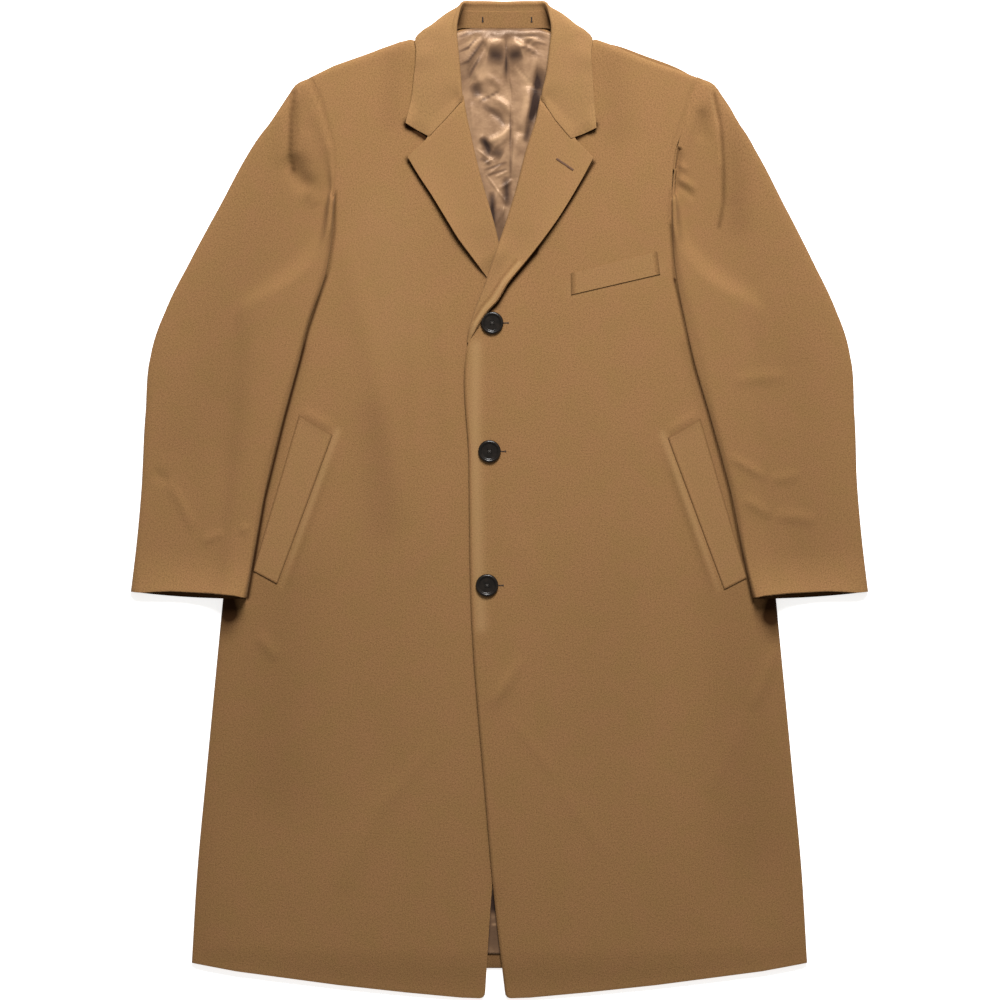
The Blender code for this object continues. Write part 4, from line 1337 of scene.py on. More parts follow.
        # Painted shade and painted light on the front.
        tone = line_lift(plan, self.tones)
        # Painted light beside the left front's edge and painted shade along its rim.
        if self.side is Side.LEFT:
            tone += line_lift(plan, (self.edge_painted_light,))
            tone[:, -1] += self.edge_painted_shade * ease((self.edge_painted_shade_to - parts) / self.edge_painted_shade_run)
        name = f"{self.side.word}_front_panel"
        piece = Cloth(name, np.dstack([plan, top]), self.wool, finishes.wool, tone=tone).build()
        lay_down(piece, stack, "wool", f"front_{self.side.word}")


@dataclass
class Lapel:
    """A lapel folded back on its front, with its roll turned down along the roll line."""

    side: Side
    # Gorge seam to the lower end: roll_x, roll_y, leaf_x, leaf_y, spring, edge_lift.
    sections: tuple[Row, ...]
    cut: Point
    area: float
    wool: float = 2.8
    wall: float = 2.6
    roll: float = 4.4
    row_step: float = 2.4
    columns: int = 20
    roll_share: float = 0.3
    roll_turns: range = range(90, 5, -12)
    drape_rounds: int = 24
    reach: float = 1.5
    # Where the top of the lapel passes under the collar.
    tuck: float = 9.0
    tuck_length: float = 18.0
    tuck_ease: float = 0.12
    tuck_depth: float = 3.0
    tuck_ramp: tuple[float, float] = (5.4, 2.2)
    tuck_to: float = 0.64
    merge_depth: float = 3.4
    merge_length: float = 24.0
    # A slight painted light over the whole lapel.
    tone: float = 0.06
    # Lines of painted light and painted shade: half width, tone and places.
    tones: tuple[Line, ...] = ()

    def make(self, stack: Stack, finishes: Finishes) -> None:
        """Make the lapel over its front.

        Args:
            stack: what it lies on.
            finishes: the coat's materials.
        """
        rows = smooth_rows(list(self.sections), self.row_step)
        inward = rows[:, 0:2] - rows[:, 2:4]
        widths = np.linalg.norm(inward, axis=1, keepdims=True)
        inward /= widths
        roll = np.minimum(self.roll, widths[:, 0] * self.roll_share)
        crest = rows[:, 0:2] - inward * roll[:, None]
        across = np.linspace(0, 1, self.columns + 1)
        plan = sections(np.hstack([rows[:, 2:4], crest]), across)
        along = np.concatenate([[0.0], np.cumsum(section_spans(rows))])
        near_top = np.clip(1 - along / self.tuck_length, 0, 1)[:, None]
        tucked = near_top * ease((across - (1 - self.tuck_to)) / self.tuck_ease)[None, :]
        plan[..., 1] += tucked * self.tuck
        held = stack.drape(plan, self.drape_rounds, self.reach)
        lift = rows[:, 5, None] * (1 - across[None, :]) ** 3
        top = held + self.wool + rows[:, 4, None] * across[None, :] ** 1.5 + lift
        ramp_from, ramp_length = self.tuck_ramp
        under = ease((ramp_from - along) / ramp_length)[:, None] * ease(tucked / 0.5)
        top -= under * self.tuck_depth
        top -= self.merge_depth * ease(1 - (along[-1] - along) / self.merge_length)[:, None]
        grid = [np.dstack([plan, top])[:, :-1]]
        edge = plan[:, -1]
        for angle in self.roll_turns:
            turn = math.radians(angle)
            away = edge + inward * roll[:, None] * math.cos(turn)
            height = top[:, -1] - roll * (1 - math.sin(turn))
            grid.append(np.dstack([away[:, None], height[:, None]]))
        points = np.concatenate(grid, axis=1)
        # Painted light over the lapel, and painted lines of light and shade along its edge.
        tone = self.tone + line_lift(points[..., :2], self.tones)
        name = f"{self.side.word}_lapel"
        piece = Cloth(name, points, self.wall, finishes.wool, edge_round=1.1, tone=tone).build()
        lay_down(piece, stack, "wool", f"lapel_{self.side.word}")


RIGHT_LAPEL = Lapel(
    Side.RIGHT,
    (
        (-42.8, 472.1, -108.9, 407.3, 1.6, 2.2),
        (-36.3, 445.7, -97, 387.3, 1.6, 3),
        (-29.2, 413.5, -80.9, 362.9, 1.4, 3.8),
        (-19.6, 375.4, -63.1, 333.8, 1.2, 4.4),
        (-10.1, 343.3, -48.8, 310.6, 0.8, 4.2),
        (-0.6, 306.4, -31.5, 287.4, 0.3, 3.2),
        (5, 275.5, -14.3, 264, 0, 1),
    ),
    (0.1, 0.24),
    0.0116,
)
LEFT_LAPEL = Lapel(
    Side.LEFT,
    (
        (48.8, 472.1, 111.6, 406.7, 1.6, 2),
        (41.1, 445.7, 100, 385, 1.6, 3.2),
        (30.7, 413.5, 83.3, 356.4, 1.4, 4),
        (21.4, 376.6, 67.8, 332, 1.2, 4.8),
        (11.7, 344, 50, 307.6, 0.8, 5.4),
        (-0.7, 306.4, 28.6, 280.8, 0.5, 5.6),
        (-11.9, 274.3, 8.2, 256, 0.2, 5.4),
        (-20, 250, -4, 236, 0, 4.4),
        (-27, 232.6, -14.4, 225, 0, 2.8),
        (-33.3, 213, -23.4, 213, 0, 2),
        (-37.6, 197, -30.6, 198.5, 0, 1),
        (-38.4, 187, -36.6, 187.6, 0, 0.2),
    ),
    (0.104, 0.3),
    0.0137,
    # Painted light and shade along the left lapel's lower edge.
    tones=(
        (2.2, 0.3)
        + ((24, 282), (5.5, 260), (-7, 239), (-18, 227), (-27, 213), (-33, 199)),
        (1.6, -0.25, (20, 285), (2, 263), (-10.5, 242), (-22, 229), (-30, 215)),
    ),
)


@dataclass
class Collar:
    """The collar with its roll and fall, and the stand inside the neck."""

    wool: float = 2.4
    stand_wool: float = 1.8
    step: float = 3.0
    span_steps: int = 5
    fold_steps: int = 10
    points: int = 6
    above_fronts: float = 9.0
    corner_rows: int = 9
    settle_length: float = 45.0
    stand_tuck: float = 1.5
    stand_rise: float = 0.6
    stand_steps: int = 8
    drape_rounds: int = 6
    reach: float = 1.0
    # How far the collar's ends stand off the fronts beyond the notch: height, rows and columns.
    tip_lift: float = 4.0
    tip_rows: int = 8
    tip_columns: tuple[int, int] = (14, 18)
    # How far the ends sink into the lapels along the gorge seam.
    seam_dip: float = 1.4
    seam_rows: int = 3
    # A slight painted light over the whole collar.
    tone: float = 0.11
    # Painted shade in the inner corners of the neck: half width, tone and places.
    corners: tuple[Line, ...] = (
        (7, -0.9, (-46, 592), (-49, 566)),
        (7, -0.9, (57, 592), (60, 566)),
        (9, -0.15, (-40, 591), (50, 591)),
    )
    # Stations from the middle of the back: seam, roll, top, edge, mid and leaf, each w, y and z;
    # then the roll's radius and which way it faces, from outwards (0) over upwards (90).
    stations: tuple[Row, ...] = (
        (0, 579, 10.6, 0, 591.6, 12, 0, 586, 1, 0, 570, 0, 0, 552, 0, 0, 532.5, 0, 3.6, 40),
        (32, 579.6, 10.6, 35, 592.2, 12.2, 37, 586, 1, 38, 570, 0, 39, 552, 0, 42, 532.5, 0, 3.6, 42),
        (46, 580, 10.2, 50, 590.4, 12.8, 55, 586, 3, 60, 581, 0.8, 66, 560, 0, 70, 533, 0, 3.4, 55),
        (53.5, 579, 9.2, 53.5, 583, 14.2, 62, 582.4, 9, 69.5, 578, 4.4, 76, 561, 0.4, 84, 536, 0, 3.2, 70),
        (60, 570, 9.4, 56.5, 566, 16.2, 75, 568, 15.8, 86.5, 565, 8.4, 91, 556, 1.6, 96, 541, 0, 3.4, 120),
        (59.5, 552, 10, 56, 554, 15.4, 78, 556, 17.6, 98, 556, 13, 102, 553.6, 11, 105, 550, 9.6)
        + (3.4, 150),
        (63, 541, 9.8, 54.4, 541, 14.6, 74, 541, 17.8, 91, 538, 17.4, 98, 536, 16.4, 104, 533, 14.8)
        + (3.6, 165),
        (60, 505, 8.8, 50.4, 505, 13, 70, 505, 16.8, 88, 504, 16.4, 97, 504, 15.6, 106, 504, 14, 3.6, 170),
    )
    ends: dict[Side, tuple[Row, ...]] = field(
        default_factory=lambda: {
            Side.RIGHT: (
                (54.5, 488, 8.4, 48.8, 487.3, 12.4, 68, 479, 16.4, 88, 467, 16, 98, 469, 15.2, 109, 476, 14)
                + (3.6, 172),
                (51, 475.5, 7, 47, 472.7, 10.4, 67, 454, 16, 87.6, 432, 15.6, 101, 439, 14.8)
                + (115.6, 447.8, 13.6, 3.6, 174),
            ),
            Side.LEFT: (
                (52, 488, 8.4, 46.4, 487.3, 12.4, 64, 478, 16.4, 83, 465, 16, 95, 467, 15.2, 108.2, 473, 14)
                + (3.6, 172),
                (48.8, 475.5, 7, 44.6, 472.7, 10.4, 62, 452, 16, 81.2, 429.4, 15.6, 96, 435, 14.8)
                + (111.3, 442, 13.6, 3.6, 174),
            ),
        }
    )
    # The stand's neck seam at the same stations: w, y and z.
    stand_foot: tuple[Row, ...] = (
        (0, 560.4, 6.8),
        (32, 560.4, 6.8),
        (44, 560.8, 6.8),
        (52, 560.4, 6.8),
        (60, 557.5, 6.8),
        (70, 549, 6.8),
        (75, 538, 7.2),
        (62, 505, 7.2),
    )
    stand_ends: dict[Side, tuple[Row, ...]] = field(
        default_factory=lambda: {
            Side.RIGHT: ((57.0, 489.0, 6.2), (51.5, 476.5, 5.8)),
            Side.LEFT: ((55.0, 489.0, 6.2), (49.5, 476.5, 5.8)),
        }
    )

    @property
    def inner(self) -> int:
        """Return how many columns lie before the fall: the seam, the stand and the roll."""
        return self.fold_steps + 3

    def side_rows(self, side: Side) -> tuple[np.ndarray, np.ndarray]:
        """Turn one side's stations into plan places.

        Args:
            side: the side.

        Returns:
            The collar's stations and the stand's.
        """
        collar = np.array(self.stations + self.ends[side], float)
        for column in range(0, 3 * self.points, 3):
            collar[:, column] = side.value * collar[:, column] + middle(collar[:, column + 1])
        stand = np.array(self.stand_foot + self.stand_ends[side], float)
        stand[:, 0] = side.value * stand[:, 0] + middle(stand[:, 1])
        return collar, stand

    def half(self, side: Side) -> np.ndarray:
        """Work out the collar's outer face on one side.

        Args:
            side: the side.

        Returns:
            Its sections, from the middle to the front end.
        """
        rows, _ = self.side_rows(side)
        rows = smooth_rows(np.hstack([rows[:, [3, 4, -5, -4]], rows]), self.step)[:, 4:]
        seam, roll, *fall = (rows[:, 3 * point : 3 * point + 3] for point in range(self.points))
        radius, turn = rows[:, -2, None], np.radians(np.clip(rows[:, -1, None], 0.0, 180.0))
        runs = np.gradient(roll[:, 0:2], axis=0)
        away = np.stack([-runs[:, 1], runs[:, 0], np.zeros(len(rows))], axis=1) * side.value
        away[0, 0] = 0.0
        away /= np.linalg.norm(away, axis=1, keepdims=True)
        up = np.array((0.0, 0.0, 1.0))
        crest = np.cos(turn) * away + np.sin(turn) * up
        beside = np.sin(turn) * away - np.cos(turn) * up
        fold = []
        for bend in np.linspace(math.pi / 2, -math.pi / 2, self.fold_steps + 1):
            fold.append(roll + radius * ((math.cos(bend) - 1) * crest - math.sin(bend) * beside))
        first = seam + (fold[0] - seam) * 0.5
        sharp = ease((np.arange(len(rows)) - len(rows) + 1 + self.corner_rows) / self.corner_rows)
        steps = np.arange(1, self.span_steps + 1) / self.span_steps
        spread = []
        for part, row in zip(sharp, zip(fold[-1], *fall)):
            curve = Curve(np.array(row))
            places = [a + (b - a) * steps for a, b in zip(curve.knots, curve.knots[1:])]
            bent = curve.at(np.concatenate(places))
            straight = np.concatenate([a + np.outer(steps, b - a) for a, b in zip(row, row[1:])])
            spread.append(bent + (straight - bent) * part)
        section = np.concatenate([np.stack([seam, first] + fold, axis=1), np.array(spread)], axis=1)
        section[..., 2] = np.maximum(section[..., 2], 0.0)
        return section

    def both_sides(self, build: Callable[[Side], np.ndarray]) -> np.ndarray:
        """Join what a builder gives for the two sides into one run of sections."""
        right, left = build(Side.RIGHT), build(Side.LEFT)
        return np.concatenate([right[::-1], left[1:]])

    def stand_half(self, side: Side) -> np.ndarray:
        """Work out the stand's outer face on one side.

        Args:
            side: the side.

        Returns:
            Its sections, from the neck seam to under the collar.
        """
        rows, stand = self.side_rows(side)
        seam = rows[:, 0:3].copy()
        run = stand - seam
        seam -= run * self.stand_tuck / np.linalg.norm(run, axis=1, keepdims=True)
        seam[:, 2] += self.stand_rise
        joined = np.hstack([stand[:, 0:2], seam[:, 0:2], stand[:, 2:3], seam[:, 2:3]])
        joined = smooth_rows(joined, self.step)
        foot, top = joined[:, [0, 1, 4]], joined[:, [2, 3, 5]]
        parts = np.linspace(0, 1, self.stand_steps + 1)
        return np.stack([foot + (top - foot) * part for part in parts], axis=1)

    def make_stand(self, stack: Stack, finishes: Finishes) -> None:
        """Make the stand.

        Args:
            stack: what it lies on.
            finishes: the coat's materials.
        """
        points = self.both_sides(self.stand_half)
        # Painted shade in the neck's inner corners.
        tone = line_lift(points[..., :2], self.corners)
        piece = Cloth("collar_stand_facing", points, self.stand_wool, finishes.wool, tone=tone).build()
        lay_down(piece, stack, "wool", "collar_stand")

    def make_collar(self, stack: Stack, finishes: Finishes) -> None:
        """Make the collar, under the back at its middle and on the fronts at its ends.

        Args:
            stack: what it lies on.
            finishes: the coat's materials.
        """
        points = self.both_sides(self.half)
        fall = points[:, self.inner :]
        held = stack.drape(fall[..., 0:2], self.drape_rounds, self.reach) + self.wool
        on_top = fall[..., 2] > self.above_fronts
        ends = np.minimum(np.arange(len(fall)), np.arange(len(fall))[::-1]) * self.step
        loose = np.maximum(fall[..., 2], held) - held
        loose *= ease(ends / self.settle_length)[:, None]
        fall[..., 2] = np.where(on_top, held + loose, fall[..., 2])
        first, last = self.tip_columns
        beyond = ease((np.arange(fall.shape[1]) - first) / (last - first))
        fall[..., 2] += self.tip_lift * ease(1 - ends / self.step / self.tip_rows)[:, None] * beyond
        dip = self.seam_dip * ease(1 - ends / self.step / self.seam_rows)[:, None]
        fall[..., 2] -= dip * (1 - beyond)
        points[:, : self.inner, 2] -= dip
        # Painted light over the collar, with painted shade in the neck's corners on its inner columns.
        inside = np.arange(points.shape[1]) < self.inner // 2
        tone = self.tone + line_lift(points[..., :2], self.corners) * inside
        piece = Cloth(
            "collar_fall",
            points,
            self.wool,
            finishes.wool,
            facing_up=(0.0, 0.9),
            edge_round=1.0,
            tone=tone,
        ).build()
        lay_down(piece, stack, "wool", "collar")


@dataclass
class Sleeve:
    """A two-piece sleeve beside the body, its upper half over its under half."""

    side: Side
    wool: float = 2.3
    roll: float = 9.0
    inner_roll: float = 5.0
    row_step: float = 4.0
    columns: int = 86
    width: float = 160.0
    under_rows: int = 4
    under_columns: int = 25
    under_rounds: int = 4
    drape_rounds: int = 30
    head_fade: int = 5
    # The part of its length from which the under half bends to the hidden armhole.
    armhole_from: float = 0.5
    # How far the under half's inner fold lies inside the upper half's, and the height from
    # which it does.
    under_inset: float = 8.0
    inset_from: float = -110.0
    inset_run: float = 80.0
    # The armhole seam: how wide the cloth dips into it, how far below the front's top it ends
    # and how far round the front is felt, and how wide its shade is.
    head_dip: float = 9.0
    head_depth: float = 0.7
    head_reach: float = 5.0
    seam_width: float = 2.5
    # How far a rolled fold stands off what lies beneath it, how far round it that is felt, and how
    # far it sinks where it is sewn.
    fold_clear: float = 0.5
    fold_reach: float = 1.0
    sewn_dip: float = 1.2
    fold_sharpness: float = 2.5
    # Cuff to head: the outer and the inner fold, how far the inner fold leans to the right of
    # both sleeves' mean, 1 where it rolls down, and the loft.
    sections: tuple[Row, ...] = (
        (438.5, -108.3, 300.8, -116.6, 0.2, 1, 1.6),
        (432.6, -60.1, 292, -72, -1, 1, 1),
        (426, 11.3, 278.3, 1.8, -1.9, 1, 1.4),
        (421.3, 106.5, 254.4, 94.6, -3.6, 1, 1.8),
        (417.1, 166, 235.8, 160.1, -4.7, 1, 2),
        (398.6, 225.5, 224.2, 207.7, -4.6, 1, 2.2),
        (362.9, 296.9, 208.2, 267.2, -0.8, 1, 2.4),
        (324.6, 368.3, 201.6, 318.3, 0, 1, 2.4),
        (298.7, 415.9, 200.9, 342.1, 0, 0.8, 2.2),
        (273.6, 451, 200.5, 352.8, 0, 0.5, 2),
        (253, 480.5, 200.5, 358.8, 0, 0.2, 1.6),
        (241.5, 495.2, 200.4, 361.5, 0, 0.1, 1.2),
        (223, 503, 200.2, 363.3, 0, 0, 0.8),
    )
    # How far the armhole seam leaves the straight line from the shoulder to its lower end.
    head_seams: dict[Side, tuple[Point, ...]] = field(
        default_factory=lambda: {
            Side.RIGHT: ((0.0, 0.0), (0.12, -3.4), (0.25, -6.6), (0.6, -11.5), (0.85, -8.0), (1.0, -3.0)),
            Side.LEFT: ((0.0, 0.0), (0.15, -3.6), (0.38, -5.4), (0.73, -2.0), (1.0, 0.3)),
        }
    )
    # How much shorter the upper half is than the under half at the cuff, from fold to fold.
    cuff_edge: tuple[Point, ...] = (
        (0, -0.8), (0.1, -0.6), (0.2, 1.4), (0.35, 3.4), (0.7, 4), (0.9, 2.8), (1, 0.4),
    )
    # The under half beyond its first rows: outer_w, outer_y, inner_w, inner_y.
    under_sections: tuple[Row, ...] = (
        (408.2, 201.7, 236, 195.8),
        (379.6, 264.8, 225, 237.4),
        (336.8, 346.9, 215, 279.1),
        (287.4, 433.8, 209, 320.7),
        (225, 496, 205, 362.5),
    )
    # The hidden armhole, shoulder to armpit along the back, then up the front: w and y.
    armhole: tuple[Point, ...] = (
        (225, 496), (217, 445.7), (213.6, 386.2), (227.8, 326.7), (258, 275.5), (301, 234),
        (272.5, 246.4), (244.2, 261.6), (217, 290.5), (203.2, 325.5), (201.4, 362.5),
    )
    # Creases: x0, y0, x1, y1, bend, half_width, height.
    creases: tuple[Row, ...] = (
        (-412, 33, -394, 20, 1, 6, -1.2), (-394, 22, -364, -37, 2, 6, 1.2),
        (-354, -51, -327, -39, 1, 4.5, 1.3), (-309, -37, -296, -32, 0, 4.5, 1.3),
        (276, 140, 343, 147, 2, 7, 1.3), (271, 52, 319, 24, 1, 5, 1.6),
        (319, 26, 358, 32, -3, 6, 1.2), (288, 2, 324, -20, 1, 6, 1.6),
        (324, -20, 378, -26, 3, 7, 1.5), (-244.5, 490, -247, 395, 2, 3, -2.8),
        (-256, 470, -261, 395, 1, 9, 1.8), (-247, 412, -224, 368, -5, 10, -4.6),
        (-236, 372, -216, 350, 2, 8, 1.4), (-228, 440, -228, 400, 0, 9, 1.2),
        (256, 484, 264, 443, -2, 3.4, -1.8), (264, 445, 267, 345, -4, 3.6, -1.7),
        (276, 440, 279, 350, -4, 10, 1.5), (241, 465, 243, 425, 1, 9, -2.6),
        (208, 400, 226, 392, 0, 3.6, 1.5), (206, 384, 234, 368, 2, 4, 1.9),
        (208, 374, 232, 357, 2, 4, -1.4), (-300, 250, -330, 120, 5, 28, 0.9),
        (-380, 200, -395, 60, 4, 22, 0.8), (310, 260, 350, 160, 6, 26, 0.9),
        (-355, 90, -340, -80, 5, 16, 0.7), (345, 100, 352, -70, 5, 18, 0.6),
    )
    # Lines of painted shade and painted light: half width, tone and places.
    tones: tuple[Line, ...] = (
        (2.8, -0.42, (-244, 487), (-247.5, 455), (-248.4, 409), (-245, 392)),
        (5, -0.18, (-243, 470), (-246, 420), (-242, 390)),
        (11, -0.22, (-240, 404), (-232, 386), (-224, 380)),
        (2.6, -0.36, (256, 482), (263.7, 443), (267, 386), (266, 352), (261, 325)),
        (2.6, 0.2, (252.2, 482), (260, 443), (263, 400)),
        (7, -0.14, (243, 462), (247, 430)),
        (16, -0.14, (274, 430), (284, 380), (284, 330)),
        (60, -0.1, (-256, 390), (-330, 200), (-350, 90)),
        (60, -0.09, (275, 400), (350, 180), (362, -40)),
    )
    # Painted shade along the armhole seam, on the roll of the inner fold and in the cuff's slit.
    seam_painted_shade: dict[Side, float] = field(default_factory=lambda: {Side.RIGHT: -0.2, Side.LEFT: -0.05})
    fold_painted_shade: float = -0.5
    slit_painted_shade: float = -0.9
    # The cuff: the under half's lip and the upper half's gape and edge, with their lengths as
    # parts of the sleeve.
    lip: float = 3.0
    lip_length: float = 0.08
    lip_crown: float = 0.6
    cuff_gape: float = 8.5
    gape_length: float = 0.09
    gape_crown: float = 0.25
    cuff_length: float = 0.06
    crown_power: float = 0.5
    # The cuff's rise beside the body: height, and the part of the length and of the width.
    inner_rise: float = 6.0
    inner_length: float = 0.16
    inner_from: float = 0.45
    inner_run: float = 0.4

    def under_table(self) -> list[Row]:
        """Turn the tables into the under half's sections.

        Returns:
            Rows of plan ends.
        """
        sign = self.side.value
        table = []
        for outer_w, outer_y, inner_w, inner_y, shift, _, _ in self.sections[: self.under_rows]:
            inner_w += self.under_inset * ease((inner_y - self.inset_from) / self.inset_run)
            table.append((sign * outer_w, outer_y, sign * inner_w + shift, inner_y))
        for outer_w, outer_y, inner_w, inner_y in self.under_sections:
            table.append((sign * outer_w, outer_y, sign * inner_w, inner_y))
        return table

    def make_under(self, stack: Stack, finishes: Finishes) -> None:
        """Make the under half, from its cuff to the hidden armhole.

        Args:
            stack: what it lies on.
            finishes: the coat's materials.
        """
        rows = smooth_rows(self.under_table(), self.row_step * 2)
        across = np.linspace(0, 1, self.under_columns)
        plan = sections(rows, across)
        sign = self.side.value
        curve = Curve([(sign * w, y) for w, y in self.armhole])
        armhole = curve.at(across * curve.length)
        parts = row_parts(rows)
        fade = np.clip((parts - self.armhole_from) / (1 - self.armhole_from), 0.0, 1.0)[:, None, None]
        plan += fade * (armhole - plan[-1])
        cuff = np.clip(1 - parts / self.lip_length, 0, 1)[:, None]
        plan[..., 1] -= cuff * self.lip * crown(across, self.lip_crown)[None, :]
        plan = lean(plan)
        points = np.dstack([plan, stack.drape(plan, self.under_rounds) + self.wool])
        # Painted shade on the under half's lip, in the cuff's slit.
        tone = self.slit_painted_shade * cuff * np.ones_like(across)
        name = f"{self.side.word}_under_sleeve"
        piece = Cloth(name, points, self.wool, finishes.wool, tone=tone).build()
        lay_down(piece, stack, "wool", f"under_sleeve_{self.side.word}")

    def make_upper(self, stack: Stack, finishes: Finishes) -> None:
        """Make the upper half, rolled down at both folds and set into the armhole.

        Args:
            stack: what it lies on.
            finishes: the coat's materials.
        """
        sign = self.side.value
        table = []
        for outer_w, outer_y, inner_w, inner_y, shift, fold, loft in self.sections:
            table.append((sign * outer_w, outer_y, sign * inner_w + shift, inner_y, fold, loft))
        rows = smooth_rows(table, self.row_step)
        across, down = roll_columns(self.width, self.columns, self.roll, self.inner_roll)
        parts = row_parts(rows)
        plan = sections(rows, across)
        seam = np.interp(across, *np.array(self.head_seams[self.side]).T)
        plan[..., 0] += (parts**self.head_fade)[:, None] * sign * seam
        cuff = np.interp(across, *np.array(self.cuff_edge).T)
        plan[..., 1] += (np.clip(1 - parts / self.cuff_length, 0, 1) ** 1.5)[:, None] * cuff
        plan = lean(plan)
        gape = self.cuff_gape * np.clip(1 - parts / self.gape_length, 0, 1)[:, None] ** 2
        loft = rows[:, 5, None] * crown(across, self.crown_power) + gape * crown(across, self.gape_crown)
        rise = np.clip(1 - parts / self.inner_length, 0, 1)[:, None] ** 1.5
        loft += self.inner_rise * rise * ease((across - self.inner_from) / self.inner_run)
        lift = fold_lift(plan, self.creases)
        top = stack.drape(plan, self.drape_rounds) + self.wool + loft + lift
        sewn = np.where(across > 0.5, 1 - np.clip(rows[:, 4, None], 0, 1), 0.0)
        lowest = stack.tops(plan, self.fold_reach) + self.fold_clear - self.sewn_dip * sewn
        top = lowest + (top - lowest) * down
        away, _ = nearest_on_line(plan, plan[-1])
        beneath = stack.tops(plan, self.head_reach) - self.head_depth
        top += (beneath - top) * ease(1 - away / self.head_dip)
        # Painted shade and painted light on the upper half: its lines, the armhole seam and the roll of the
        # inner fold.
        inside = np.where(across > 0.5, 1 - down, 0.0)
        tone = line_lift(plan, self.tones)
        tone += self.seam_painted_shade[self.side] * ease(1 - away / self.seam_width)
        tone += self.fold_painted_shade * (1 - sewn) * inside**self.fold_sharpness
        name = f"{self.side.word}_top_sleeve"
        piece = Cloth(name, np.dstack([plan, top]), self.wool, finishes.wool, tone=tone).build()
        lay_down(piece, stack, "wool", f"top_sleeve_{self.side.word}")


@dataclass
class Welt:
    """A pocket welt: a strip that follows its front and stands a little above it."""

    name: str
    node: str
    front: str
    # Corners from the outer top corner round by the inner long edge.
    corners: tuple[Point, ...]
    cut: Point
    wool: float = 2.2
    above: float = 1.3
    rounds: int = 3
    rows: int = 65
    columns: int = 17
    # A slight painted light on the welt, and painted shade round its rim.
    tone: float = 0.06
    rim_painted_shade: float = -0.45

    def make(self, stack: Stack, finishes: Finishes) -> None:
        """Make the welt.

        Args:
            stack: what it lies on.
            finishes: the coat's materials.
        """
        outer_top, inner_top, inner_low, outer_low = (np.array(corner) for corner in self.corners)
        high = np.linspace(0, 1, self.rows)[:, None]
        start = outer_top + (outer_low - outer_top) * high
        end = inner_top + (inner_low - inner_top) * high
        plan = sections(np.hstack([start, end]), np.linspace(0, 1, self.columns))
        height = soften(stack.tops(plan), self.rounds) + self.above
        points = np.dstack([plan, height])
        # Painted shade round the rim, a slight painted light inside it.
        tone = np.full(height.shape, self.rim_painted_shade)
        tone[1:-1, 1:-1] = self.tone
        piece = Cloth(self.name, points, self.wool, finishes.wool, tone=tone).build()
        lay_down(piece, stack, "wool", self.node)
        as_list(self.front)


WELTS = (
    Welt(
        "breast_pocket_welt",
        "breast_welt",
        "left_front_panel",
        ((84.8, 269.5), (187.4, 295.7), (191, 268.3), (85.1, 243.8)),
        (0.107, 0.027),
    ),
    Welt(
        "right_pocket_welt",
        "pocket_welt_right",
        "right_front_panel",
        ((-238.1, 101.5), (-198.3, 77.6), (-264.3, -100), (-292.6, -84.6)),
        (0.041, 0.196),
    ),
    Welt(
        "left_pocket_welt",
        "pocket_welt_left",
        "left_front_panel",
        ((238.7, 97), (199.9, 74.3), (267.2, -106.7), (294, -92.8)),
        (0.041, 0.196),
    ),
)


